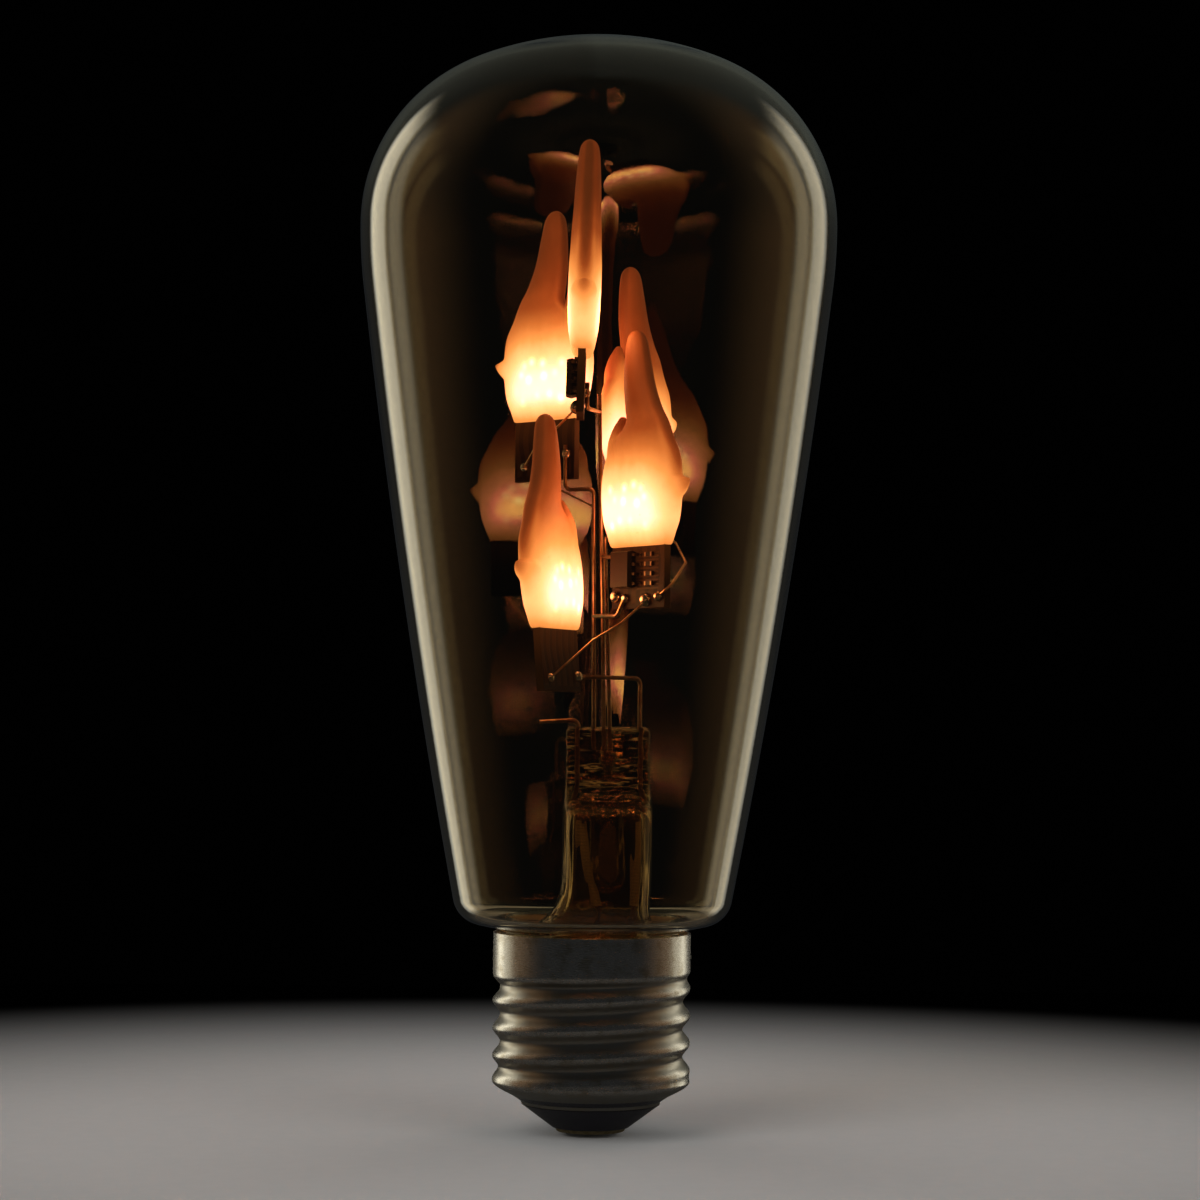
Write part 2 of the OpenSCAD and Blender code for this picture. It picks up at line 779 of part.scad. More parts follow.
module bridge_rectifier() {
    color([0.1, 0.1, 0.1])
        translate([-4.6, 3.4, driver_z])
            chip(3.9, 4.7, 1.6, 2);
}

module driver_chip() {
    color([0.1, 0.1, 0.1])
        translate([3.6, 5, driver_z])
            chip(3.9, 4.9, 1.5, 4);
}

module filter_capacitor() {
    r = capacitor_d / 2;
    color([0.16, 0.16, 0.2])
        translate([-r - 0.7, 0, ledge_z - capacitor_h])
            rotate_extrude()
                polygon([
                    [0, 0], [r - 0.4, 0], [r, 0.4], [r, capacitor_h - 2], [r - 0.35, capacitor_h - 1.6],
                    [r, capacitor_h - 1.2], [r, capacitor_h - 0.4], [r - 0.4, capacitor_h], [0, capacitor_h],
                ]);
}

resistor_x = 5.5;
resistor_r = 1.25;
resistor_top = ledge_z - 1;
resistor_end = resistor_top - 6;
module fusible_resistor() {
    color([0.2, 0.42, 0.3])
        translate([resistor_x, 0, resistor_end])
            union() {
                rotate_extrude()
                    polygon([
                        [0, 0], [0.8, 0], [resistor_r, 0.5], [resistor_r, 1.4], [resistor_r - 0.2, 1.8],
                        [resistor_r - 0.2, 4.2], [resistor_r, 4.6], [resistor_r, 5.5], [0.8, 6], [0, 6],
                    ]);
                cylinder(r = wire_r, h = resistor_top - resistor_end + 1);
            }
}

CONTACT_WIRE = [
    [resistor_x, 0, resistor_end],
    [resistor_x, 0, 1.1 - shell_h],
    [0, 0, 1.1 - shell_h],
    [0, 0, contact_z - contact_t],
];
shell_wire_r = shell_in - wire_r - fit;
SHELL_WIRE = [
    [0, 9, driver_z],
    [0, 9, cup_top + 0.5],
    [0, shell_wire_r, cup_top + 0.5],
    [0, shell_wire_r, -13],
];

module shell_wire() {
    color([0.72, 0.5, 0.33])
        bent_wire(SHELL_WIRE, wire_r, 0.7);
}

glass_envelope();
stem_glass();
exhaust_tube();
main_post();
wire(REAR_POST);  // rear_post
wire(SIDE_POST);  // side_post
wire(LEFT_LEAD);  // left_lead
wire(RIGHT_LEAD);  // right_lead
sleeve(LEFT_LEAD);  // left_sleeve
sleeve(RIGHT_LEAD);  // right_sleeve
top_arm();
upper_arm();
lower_arm();
jumper(JUMPER_1_2);  // jumper_1_2
jumper(JUMPER_2_3);  // jumper_2_3
jumper_4_post();
jumper(JUMPER_5_4);  // jumper_5_4
flame(0);  // flame_1
flame(1);  // flame_2
flame(2);  // flame_3
flame(3);  // flame_4
flame(4);  // flame_5
board(0);  // board_1
board(1);  // board_2
board(2);  // board_3
board(3);  // board_4
board(4);  // board_5
leds(0);  // leds_1
leds(1);  // leds_2
leds(2);  // leds_3
leds(3);  // leds_4
leds(4);  // leds_5
control_chip(0);  // control_chip_1
control_chip(1);  // control_chip_2
control_chip(2);  // control_chip_3
control_chip(3);  // control_chip_4
control_chip(4);  // control_chip_5
resistors(0);  // resistors_1
resistors(1);  // resistors_2
resistors(2);  // resistors_3
resistors(3);  // resistors_4
resistors(4);  // resistors_5
solder_1();
solder_2();
solder_3();
solder_4();
solder_5();
screw_shell();
cap_insulator();
centre_contact();
contact_solder();
neck_cement();
driver_cup();
driver_board();
bridge_rectifier();
driver_chip();
filter_capacitor();
fusible_resistor();
wire(CONTACT_WIRE);  // contact_wire
shell_wire();
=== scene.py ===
import math
import random

import bmesh
import bpy
import numpy as np
from mathutils import Matrix, Vector


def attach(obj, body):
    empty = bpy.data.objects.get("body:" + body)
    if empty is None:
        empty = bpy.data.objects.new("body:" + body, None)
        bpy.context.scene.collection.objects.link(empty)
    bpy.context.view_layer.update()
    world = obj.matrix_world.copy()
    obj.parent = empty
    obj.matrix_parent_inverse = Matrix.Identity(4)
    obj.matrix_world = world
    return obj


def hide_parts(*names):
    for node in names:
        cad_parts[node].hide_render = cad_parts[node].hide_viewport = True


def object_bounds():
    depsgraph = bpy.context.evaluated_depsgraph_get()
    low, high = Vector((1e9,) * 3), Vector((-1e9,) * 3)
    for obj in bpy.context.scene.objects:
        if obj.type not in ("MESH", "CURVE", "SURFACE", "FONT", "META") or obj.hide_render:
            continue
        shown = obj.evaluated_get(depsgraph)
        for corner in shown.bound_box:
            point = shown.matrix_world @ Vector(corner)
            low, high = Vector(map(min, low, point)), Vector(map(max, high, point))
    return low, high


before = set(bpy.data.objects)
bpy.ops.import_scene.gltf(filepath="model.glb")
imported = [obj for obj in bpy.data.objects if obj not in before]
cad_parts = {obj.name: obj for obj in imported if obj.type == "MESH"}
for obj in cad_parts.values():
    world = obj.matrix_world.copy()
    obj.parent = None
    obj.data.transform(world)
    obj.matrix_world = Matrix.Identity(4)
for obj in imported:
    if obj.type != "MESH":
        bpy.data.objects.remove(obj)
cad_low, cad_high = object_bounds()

MM = 0.001


# -------- node trees

class Value:
    """An output socket of a node tree. Python's operators on it add Math nodes."""

    def __init__(self, tree, socket):
        self.tree = tree
        self.socket = socket

    def math(self, operation, *others):
        """A Math node on this value and on others after it."""
        return self.tree.math(operation, self, *others)

    def __add__(self, other):
        return self.math("ADD", other)

    def __sub__(self, other):
        return self.math("SUBTRACT", other)

    def __rsub__(self, other):
        return self.tree.math("SUBTRACT", other, self)

    def __mul__(self, other):
        return self.math("MULTIPLY", other)

    def __truediv__(self, other):
        return self.math("DIVIDE", other)

    def __pow__(self, other):
        return self.math("POWER", other)

    def __neg__(self):
        return self.math("MULTIPLY", -1.0)

    def __abs__(self):
        return self.math("ABSOLUTE")

    __radd__ = __add__
    __rmul__ = __mul__

    def most(self, other):
        return self.math("MAXIMUM", other)

    def exp(self):
        return self.math("EXPONENT")

    def sine(self):
        return self.math("SINE")

    def cosine(self):
        return self.math("COSINE")

    def fraction(self):
        return self.math("FRACT")

    def rise(self, low, high):
        """0 below low, 1 above high, and smooth between them."""
        return self.tree.add(
            "ShaderNodeMapRange",
            {"interpolation_type": "SMOOTHSTEP", "clamp": True},
            {"Value": self, "From Min": low, "From Max": high},
        )

    def bell(self, middle, width):
        """A bell curve with its top at middle."""
        off = (self - middle) / width
        return (-(off * off)).exp()

    def parts(self):
        """The three numbers of a vector."""
        split = self.tree.add("ShaderNodeSeparateXYZ", {}, {0: self})
        return [Value(self.tree, s) for s in split.socket.node.outputs]

    def from_axis(self):
        """How far a place is from the bulb's axis."""
        x, y, _ = self.parts()
        return (x * x + y * y) ** 0.5


class Tree:
    """A node tree that is being built, for a material, the world or geometry."""

    def __init__(self, tree):
        self.tree = tree
        tree.nodes.clear()

    def add(self, kind, settings, sockets, out=0):
        """Adds one node: its settings first, then the values or links of its sockets."""
        node = self.tree.nodes.new(kind)
        for name, value in settings.items():
            setattr(node, name, value)
        for name, value in sockets.items():
            if isinstance(value, Value):
                self.tree.links.new(value.socket, node.inputs[name])
            else:
                socket = node.inputs[name]
                if socket.type == "RGBA" and len(value) == 3:
                    value = (*value, 1)
                socket.default_value = value
        return Value(self, node.outputs[out]) if node.outputs else None

    def math(self, operation, *numbers):
        return self.add("ShaderNodeMath", {"operation": operation}, dict(enumerate(numbers)))

    def vector(self, x, y, z):
        return self.add("ShaderNodeCombineXYZ", {}, {0: x, 1: y, 2: z})

    def light_path(self, name):
        return self.add("ShaderNodeLightPath", {}, {}, out=name)

    def place(self):
        """Where a point of the piece is, in millimetres."""
        here = self.add("ShaderNodeTexCoord", {}, {}, out="Object")
        return self.add("ShaderNodeVectorMath", {"operation": "SCALE"}, {0: here, "Scale": 1 / MM})

    def attribute(self, name, out="Vector"):
        return self.add("ShaderNodeAttribute", {"attribute_name": name}, {}, out=out)

    def noise(self, where, scale, detail=3.0, rough=0.55):
        return self.add(
            "ShaderNodeTexNoise", {}, {"Vector": where, "Scale": scale, "Detail": detail, "Roughness": rough}
        )

    def streaks(self, where, scale, detail=3.0):
        """Noise with a scale for each axis. It is drawn out along an axis with a small one."""
        stretched = self.add("ShaderNodeMapping", {}, {"Vector": where, "Scale": scale})
        return self.noise(stretched, 1.0, detail)

    def mix(self, share, one, other):
        """One colour where share is 0, the other where it is 1."""
        return self.add(
            "ShaderNodeMix", {"data_type": "RGBA", "clamp_factor": True}, {0: share, 6: one, 7: other}, out=2
        )

    def ramp(self, value, stops):
        """The colour at a value, between stops of (value, colour)."""
        ramp = self.add("ShaderNodeValToRGB", {}, {"Fac": value})
        elements = ramp.socket.node.color_ramp.elements
        while len(elements) < len(stops):
            elements.new(0.5)
        for element, (place, colour) in zip(elements, stops):
            element.position = place
            element.color = (*colour, 1)
        return ramp

    def bump(self, height, distance):
        """A bump of a depth in millimetres."""
        return self.add("ShaderNodeBump", {}, {"Height": height, "Distance": distance * MM, "Strength": 1.0})

    def finish(self, **sockets):
        """A Principled shader. A socket's name has its spaces as underscores."""
        named = {name.replace("_", " "): value for name, value in sockets.items()}
        return self.add("ShaderNodeBsdfPrincipled", {}, named)


MADE = {}


def material(paint):
    """The material that a function paints. It is named for the function and made once."""
    if paint not in MADE:
        made = MADE[paint] = bpy.data.materials.new(paint.__name__ + "_finish")
        made.use_nodes = True
        tree = Tree(made.node_tree)
        tree.add("ShaderNodeOutputMaterial", {}, {"Surface": paint(tree)})
    return MADE[paint]


def in_scene(name, data):
    """A new object in the scene, for a mesh, a lamp or a camera."""
    thing = bpy.data.objects.new(name, data)
    bpy.context.collection.objects.link(thing)
    return thing


# -------- materials

def lets_lamps_through(t, glass):
    """Glass that the lamps' light passes, so that what is inside is lit."""
    pale_amber = (0.86, 0.8, 0.68)
    open_way = t.add("ShaderNodeBsdfTransparent", {}, {"Color": pale_amber})
    return t.add("ShaderNodeMixShader", {}, {0: t.light_path("Is Shadow Ray"), 1: glass, 2: open_way})


def clear_glass(t):
    """Blown soda glass with an amber tint, faint draw waves and a few specks of dust."""
    amber, dust = (0.92, 0.8, 0.58), (0.8, 0.62, 0.36)
    here = t.place()
    waves = t.streaks(here, (0.05, 0.05, 0.012), 1.0)
    specks = t.noise(here, 1.7, 2.0).rise(0.73, 0.78)
    glass = t.finish(
        Base_Color=t.mix(specks, amber, dust),
        Roughness=specks * 0.12,
        IOR=1.5,
        Transmission_Weight=1.0,
        Normal=t.bump(waves, 0.12),
    )
    return lets_lamps_through(t, glass)


def stem_glass(t):
    """Flame-worked glass, with the cross ripples that the tongs left in the press."""
    amber, brown, glint = (0.5, 0.36, 0.17), (0.4, 0.23, 0.08), (1.0, 0.66, 0.36)
    here = t.place()
    ripples = t.streaks(here, (0.18, 0.2, 0.75), 1.6)
    drawn = t.streaks(here, (0.5, 0.5, 0.06), 1.0)
    pressed = here.parts()[2].rise(15, PRESS_BASE)
    glass = t.finish(
        Base_Color=t.mix(pressed, amber, brown),
        Roughness=0.0,
        IOR=1.52,
        Specular_IOR_Level=0.22,
        Specular_Tint=glint,
        Transmission_Weight=1.0,
        Normal=t.bump(ripples * pressed + drawn * (1 - pressed) * 0.3, 1.3),
    )
    return lets_lamps_through(t, glass)


# Where the LED chips are under the flame: rows up from its foot, and columns out from the board's middle.
LED_ROWS = [3.5, 5.9, 8.3]
LED_COLUMNS = [-3.45, -1.15, 1.15, 3.45]
STAGGER = 0.7
# How far from its chip a dot may show through the silicone.
DOT_DRIFT = 0.8

# The flame's light from its dusky tip to the chips, where 1 is white. The shader takes it as shares of GLOW.
GLOW = 9.0
HOT_SPOT = (9.0, 7.0, 3.0)
FLAME_GLOW = [
    (0.0, (0.03, 0.004, 0.001)),
    (0.2, (0.14, 0.021, 0.004)),
    (0.31, (0.32, 0.06, 0.012)),
    (0.44, (0.72, 0.21, 0.05)),
    (0.6, (1.3, 0.5, 0.15)),
    (0.8, (3.0, 1.05, 0.52)),
    (0.89, (4.4, 1.25, 0.88)),
    (0.94, (6.0, 2.0, 1.2)),
    (1.0, (8.5, 4.4, 1.5)),
]


def share_of_glow(colour):
    return tuple(level / GLOW for level in colour)


def led_dots(out, up):
    """A small bright dot near each of the staggered chips."""
    placed = random.Random(7)
    dots = 0
    for row, height in enumerate(LED_ROWS):
        for column in LED_COLUMNS:
            x = column + (row % 2 - 0.5) * STAGGER + placed.uniform(-DOT_DRIFT, DOT_DRIFT)
            off = (out - x) ** 2.0 + (up - height - placed.uniform(-DOT_DRIFT, DOT_DRIFT)) ** 2.0
            dots = (off * -4.0).exp() * placed.uniform(0.2, 1.0) + dots
    return dots


def flame_silicone(t):
    """Frosted amber silicone over lit LED chips: nearly white over them, orange above, dusky at the tip."""
    amber, pale_amber = (0.3, 0.095, 0.032), (0.36, 0.12, 0.045)
    place = t.attribute("module_place")
    rim = t.attribute("flame_rim", out="Fac")
    out, across, up = place.parts()
    mottle = t.noise(place, 0.45) - 0.5
    streak = t.streaks(place, (0.8, 0.8, 0.11), 2.0) - 0.5
    crease = rim.rise(0.8, 0.97) * across.bell(0.0, 0.9)
    # The glow fills the body over the chips. It falls off towards both sides, most of all in the horn.
    drift = out + (up - 6) * 0.12
    outer_side, horn, inner_side = drift.rise(2.5, 9.5), drift.rise(8.4, 10.4), (-drift).rise(6, 12)
    wide = 1 - outer_side * 0.55 - horn * 0.16 - inner_side * 0.5
    tall = up.rise(-2.4, 4.2) * (1 - (up + streak + mottle * 2).rise(4.6, 16.2))
    core = wide * tall
    tail = 1 - up.rise(13, 24)
    edge_light = rim.rise(0.72, 0.95) * up.rise(10, 15) * (1 - crease)
    # 0 is the dusky tip's colour and 1 is the chips'.
    heat = core * 0.67 + tail * 0.2 + edge_light * 0.07
    heat = heat + mottle * 0.08 + streak * 0.04 - crease * 0.2 * up.rise(3, 12) + 0.13
    glow = t.ramp(heat, [(spot, share_of_glow(colour)) for spot, colour in FLAME_GLOW])
    dots = led_dots(out, up) * core ** 2.0 * (1 - crease)
    fine = t.noise(place, 5.0, 2.0)
    return t.finish(
        Base_Color=t.mix(mottle + 0.5, amber, pale_amber),
        Roughness=0.5 + mottle * 0.15,
        IOR=1.42,
        Specular_IOR_Level=0.35,
        Emission_Color=t.mix(dots, glow, share_of_glow(HOT_SPOT)),
        Emission_Strength=GLOW,
        Normal=t.bump(fine, 0.03),
    )


def module_laminate(t):
    """Dark red-brown solder mask over copper tracks, with bare laminate at the sawn edges and a painted glow
    towards the flame's foot.
    """
    bare, over_copper = (0.012, 0.0035, 0.0008), (0.06, 0.022, 0.005)
    stain, sawn = (0.03, 0.008, 0.0025), (0.045, 0.02, 0.006)
    unlit, lit = (0.001, 0.0002, 0.0001), (0.03, 0.008, 0.002)
    place = t.attribute("module_place")
    out, across, up = place.parts()
    weave = t.noise(place, 4.0, 2.0)
    # Long tracks run up the board. On the component face, a ladder of fine ones leads from the chip.
    tracks = ((out + (up * 0.7).sine() * 0.4) * 0.55).fraction().rise(0.42, 0.5)
    rungs = (up * 1.9).fraction().rise(0.45, 0.6) * out.rise(-0.3, 0.0) * (1 - out.rise(4.2, 4.5))
    ladder = rungs * (1 - across.rise(-0.2, 0.2)) * up.rise(-5.6, -5.4) * (1 - up.rise(-0.8, -0.6))
    copper = (tracks * 0.5).most(ladder) * up.rise(-7.4, -7.2)
    edge = abs(out).rise(5.42, 5.5).most(1 - up.rise(-7.95, -7.9))
    stained = t.mix(weave * 0.3, t.mix(copper, bare, over_copper), stain)
    # Painted glow: emission that stands in for the lit chips' light shining a little way down through the
    # board.
    painted_glow = up.rise(-8, 0) ** 3.0
    return t.finish(
        Base_Color=t.mix(edge, stained, sawn),
        Roughness=0.38 + weave * 0.15 + edge * 0.3 - ladder * 0.15,
        Specular_IOR_Level=0.06,
        Emission_Color=t.mix(painted_glow, unlit, lit),
        Emission_Strength=1.0,
        Normal=t.bump(copper + weave * 0.15, 0.035),
    )


def mottled(t, pattern, one, other, roughness, swing, depth, **more):
    """A finish whose colour, roughness and bump all follow one pattern."""
    return t.finish(
        Base_Color=t.mix(pattern, one, other),
        Roughness=roughness + pattern * swing,
        Normal=t.bump(pattern, depth),
        **more,
    )


def chip_resin(t):
    """Matt brown-black moulding resin."""
    black, brown = (0.016, 0.007, 0.0025), (0.038, 0.017, 0.006)
    grain = t.noise(t.place(), 9.0, 2.0)
    return mottled(t, grain, black, brown, 0.4, 0.2, 0.02, Specular_IOR_Level=0.1)


def tinned_metal(t):
    """Tin on the legs and pads, dulled a little by heat."""
    dull, fresh = (0.14, 0.09, 0.045), (0.22, 0.15, 0.085)
    cloud = t.noise(t.place(), 3.0)
    return mottled(t, cloud, dull, fresh, 0.3, 0.2, 0.02, Metallic=1.0)


def resistor_ceramic(t):
    """Dark glazed top of a chip resistor."""
    black, brown = (0.01, 0.007, 0.004), (0.025, 0.016, 0.009)
    cloud = t.noise(t.place(), 5.0, 2.0)
    return t.finish(
        Base_Color=t.mix(cloud, black, brown),
        Roughness=0.35 + cloud * 0.2,
        Specular_IOR_Level=0.12,
    )


def led_phosphor(t):
    """Yellow phosphor gel of a lit chip."""
    yellow, pale_yellow = (0.9, 0.62, 0.12), (0.98, 0.75, 0.25)
    warm, white = (1.0, 0.7, 0.3), (1.0, 0.8, 0.45)
    grain = t.noise(t.place(), 8.0, 2.0)
    return t.finish(
        Base_Color=t.mix(grain, yellow, pale_yellow),
        Roughness=0.5,
        Emission_Color=t.mix(grain, warm, white),
        Emission_Strength=4.0,
    )


def nickel_wire(t):
    """Drawn nickel-iron wire, browned by the welding heat."""
    browned, bright = (0.38, 0.19, 0.085), (0.6, 0.38, 0.21)
    here = t.place()
    heat = t.noise(here, 0.35, 2.0)
    drawn = t.streaks(here, (14, 14, 1.5), 2.0)
    return t.finish(
        Base_Color=t.mix(heat.rise(0.35, 0.65), browned, bright),
        Roughness=0.2 + drawn * 0.18,
        Metallic=1.0,
        Normal=t.bump(drawn, 0.012),
    )


def copper_wire(t):
    """Thin tinned copper wire, worn through to the copper in places."""
    copper, tinned = (0.72, 0.36, 0.14), (0.8, 0.58, 0.34)
    tin = t.noise(t.place(), 1.1)
    return t.finish(
        Base_Color=t.mix(tin.rise(0.4, 0.62), copper, tinned),
        Roughness=0.22 + tin * 0.15,
        Metallic=1.0,
    )


def solder(t):
    """Shiny solder with flux-dulled patches."""
    shiny, fluxed = (0.8, 0.72, 0.58), (0.5, 0.34, 0.17)
    flux = t.noise(t.place(), 1.6)
    return t.finish(
        Base_Color=t.mix(flux.rise(0.45, 0.7), shiny, fluxed),
        Roughness=0.12 + flux * 0.25,
        Metallic=1.0,
        Normal=t.bump(flux, 0.06),
    )


def sleeving(t):
    """Woven glass sleeving, soaked with resin."""
    resin, yarn = (0.2, 0.13, 0.07), (0.36, 0.26, 0.16)
    x, y, z = t.place().parts()
    turn = y.math("ARCTAN2", x) * 3.0
    cross = (z * 7.0 + turn).sine() * (z * 7.0 - turn).sine() * 0.5 + 0.5
    return mottled(t, cross, resin, yarn, 0.7, -0.15, 0.06)


def cap_metal(t):
    """Rolled brass, nickel-plated: lighter and a little smoother on the crests, darker in the roots, with
    dull patches.
    """
    root_plate, crest_plate, patch = (0.5, 0.47, 0.41), (0.74, 0.71, 0.65), (0.52, 0.46, 0.36)
    here = t.place()
    crest = here.from_axis().rise(12.55, 13.1)
    cloud = t.noise(here, 0.6, 4.0)
    rubbed = t.streaks(here, (1.0, 1.0, 9.0))
    return t.finish(
        Base_Color=t.mix(cloud.rise(0.45, 0.75), t.mix(crest, root_plate, crest_plate), patch),
        Roughness=0.2 + rubbed * 0.16 + cloud * 0.08 - crest * 0.05,
        Metallic=1.0,
        Normal=t.bump(rubbed * 0.6 + cloud * 0.4, 0.025),
    )


def black_insulator(t):
    """Black cap glass, poured and pressed, with a soft skin."""
    black, grey = (0.006, 0.006, 0.008), (0.018, 0.016, 0.02)
    flow = t.noise(t.place(), 0.5)
    return mottled(t, flow, black, grey, 0.12, 0.14, 0.12, IOR=1.6)


def contact_metal(t):
    """Brass contact disc with turned rings, scuffed by use."""
    brass, scuffed = (0.72, 0.58, 0.32), (0.5, 0.38, 0.2)
    here = t.place()
    rings = (here.from_axis() * 14.0).sine() * 0.5 + 0.5
    scuff = t.streaks(here, (1.2, 4.0, 1.0))
    return t.finish(
        Base_Color=t.mix(scuff.rise(0.4, 0.7), brass, scuffed),
        Roughness=0.25 + rings * 0.08 + scuff * 0.2,
        Metallic=1.0,
        Normal=t.bump(rings + scuff, 0.01),
    )


def cement(t):
    """Coarse cream capping cement."""
    hollow, grain = (0.52, 0.45, 0.34), (0.72, 0.66, 0.54)
    grit = t.noise(t.place(), 2.5, 5.0, 0.7)
    return mottled(t, grit, hollow, grain, 0.85, 0.1, 0.15)


def cup_plastic(t):
    """White moulded driver cup."""
    cream, white = (0.66, 0.66, 0.62), (0.74, 0.73, 0.68)
    flow = t.streaks(t.place(), (0.4, 0.4, 1.6))
    return mottled(t, flow, cream, white, 0.4, 0.15, 0.03)


def driver_laminate(t):
    """Green solder mask over glass weave and copper tracks."""
    bare, over_copper = (0.012, 0.08, 0.03), (0.03, 0.16, 0.06)
    here = t.place()
    x, y, _ = here.parts()
    tracks = (x * 0.8 + abs(y) * 0.3).fraction().rise(0.55, 0.62)
    weave = t.noise(here, 5.0, 2.0)
    return t.finish(
        Base_Color=t.mix(tracks, bare, over_copper),
        Roughness=0.35 + weave * 0.15,
        Normal=t.bump(tracks + weave * 0.2, 0.035),
    )


def capacitor_sleeve(t):
    """Shrunk sleeve of the capacitor."""
    navy, pale_navy = (0.02, 0.022, 0.04), (0.04, 0.045, 0.07)
    wrinkle = t.streaks(t.place(), (0.8, 0.8, 3.0))
    return mottled(t, wrinkle, navy, pale_navy, 0.3, 0.1, 0.04)


def resistor_body(t):
    """Green cement coat of the fusible resistor."""
    green, pale_green = (0.05, 0.14, 0.09), (0.09, 0.22, 0.15)
    pits = t.noise(t.place(), 4.0)
    return mottled(t, pits, green, pale_green, 0.6, 0.2, 0.06)


# -------- shapes

def mesh_piece(name, points, faces, paint, smooth=True, **attributes):
    """One piece from its points in millimetres. An attribute is a list with one vector for each point."""
    mesh = bpy.data.meshes.new(name)
    mesh.from_pydata([tuple(p) for p in np.asarray(points, float) * MM], [], [tuple(f) for f in faces])
    piece = in_scene(name, mesh)
    for key, values in attributes.items():
        layer = mesh.attributes.new(key, "FLOAT_VECTOR", "POINT")
        layer.data.foreach_set("vector", np.asarray(values, float).ravel())
    mesh.materials.append(material(paint))
    if smooth:
        mesh.polygons.foreach_set("use_smooth", [True] * len(mesh.polygons))
    mesh.update()
    return piece


def finished(piece, finish_slot, *nodes):
    """Rides on the only body and stands for the nodes. Its finish_slot is not used."""
    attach(piece, "root")
    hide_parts(*nodes)
    return piece


def applied(piece):
    """The piece with its modifiers turned into plain mesh."""
    graph = bpy.context.evaluated_depsgraph_get()
    mesh = bpy.data.meshes.new_from_object(piece.evaluated_get(graph))
    old = piece.data
    piece.modifiers.clear()
    piece.data = mesh
    mesh.name = piece.name
    bpy.data.meshes.remove(old)
    return piece


def recalculated(piece):
    """Merges doubled points and turns every face outwards."""
    shape = bmesh.new()
    shape.from_mesh(piece.data)
    bmesh.ops.remove_doubles(shape, verts=shape.verts, dist=1e-6)
    bmesh.ops.recalc_face_normals(shape, faces=shape.faces)
    shape.to_mesh(piece.data)
    shape.free()
    return piece


def turns(count):
    """The angles of points that go evenly round."""
    return [2 * math.pi * k / count for k in range(count)]


def lathe(profile, count):
    """Points and faces of a closed profile (radius, height), turned round. A radius of 0 is one point."""
    points, rows = [], []
    for r, z in profile:
        if r < 1e-6:
            rows.append([len(points)] * count)
            points.append((0, 0, z))
        else:
            rows.append(list(range(len(points), len(points) + count)))
            points += [(r * math.cos(a), r * math.sin(a), z) for a in turns(count)]
    faces = []
    for a, b in zip(rows, rows[1:] + rows[:1]):
        for k in range(count):
            n = (k + 1) % count
            face = list(dict.fromkeys([a[k], b[k], b[n], a[n]]))
            if len(face) > 2:
                faces.append(face)
    return points, faces


def tube_faces(rows, count):
    """The faces between rows of points that go round."""
    return [
        (i * count + j, i * count + (j + 1) % count, (i + 1) * count + (j + 1) % count, (i + 1) * count + j)
        for i in range(rows - 1)
        for j in range(count)
    ]


def skin(rings):
    """Points and faces through rings of points that all have one count, as a tube with closed ends."""
    count = len(rings[0])
    points = [p for ring in rings for p in ring]
    faces = tube_faces(len(rings), count)
    faces.append(tuple(range(count))[::-1])
    faces.append(tuple((len(rings) - 1) * count + j for j in range(count)))
    return points, faces


def with_more(points, faces, more_points, more_faces):
    """Two sets of points and faces as one set."""
    base = len(points)
    return points + more_points, faces + [tuple(base + v for v in face) for face in more_faces]


def on_arc(centre, radius, turn):
    """A point at a turn from the first axis, on a circle."""
    return np.array([centre[0] + radius * math.cos(turn), centre[1] + radius * math.sin(turn)])


def arc(centre, radius, start, end, steps):
    """Points along a circle from one turn to another."""
    return [on_arc(centre, radius, start + (end - start) * i / steps) for i in range(steps + 1)]


# -------- glass

# Lengths and heights are in millimetres. Height 0 is the top edge of the screw shell.
GLASS_R, GLASS_H = 32.0, 119.6
WALL = 0.9
# Radii of the profile's arcs, from the top down: shoulder, belly, side and lower corner.
SHOULDER_R, BELLY_R, SIDE_R, CORNER_R = 23.3, 70.0, 1200.0, 4.0
BELLY_Z, CORNER_Z = 94.5, 4.2
# How far the belly's arc turns before the side's, and the corner's before the run to the neck.
BELLY_TURN, CORNER_END = math.radians(7.008), math.radians(78)
NECK_R, NECK_DEPTH = 12.3, 4.5


def glass_side(depth):
    """The glass's profile from the dome to the end of the lower corner, set in by a depth."""
    shoulder = (GLASS_R - SHOULDER_R, BELLY_Z)
    rise = GLASS_H - BELLY_Z
    dome_r = (shoulder[0] ** 2 + rise**2 - SHOULDER_R**2) / (2 * (rise - SHOULDER_R))
    dome = (0.0, GLASS_H - dome_r)
    meet = math.atan2(shoulder[1] - dome[1], shoulder[0] - dome[0])
    belly = (GLASS_R - BELLY_R, BELLY_Z)
    side = on_arc(belly, BELLY_R - SIDE_R, -BELLY_TURN)
    low = math.asin((side[1] - CORNER_Z) / SIDE_R)
    corner = on_arc(side, SIDE_R - CORNER_R, -low)
    return (
        arc(dome, dome_r - depth, math.pi / 2, meet, 40)
        + arc(shoulder, SHOULDER_R - depth, meet, 0, 48)[1:]
        + arc(belly, BELLY_R - depth, 0, -BELLY_TURN, 8)[1:]
        + arc(side, SIDE_R - depth, -BELLY_TURN, -low, 60)[1:]
        + arc(corner, CORNER_R - depth, -low, -CORNER_END, 20)[1:]
    )


def neck_run(depth):
    """The run in from the corner to the neck, its small fillet and the neck's wall."""
    end = glass_side(depth)[-1]
    inner = NECK_R - depth
    top = end[1] - (end[0] - inner) / math.tan(CORNER_END)
    return [np.array([inner + 0.3, top + 0.06]), np.array([inner, top - 0.3]), np.array([inner, -NECK_DEPTH])]


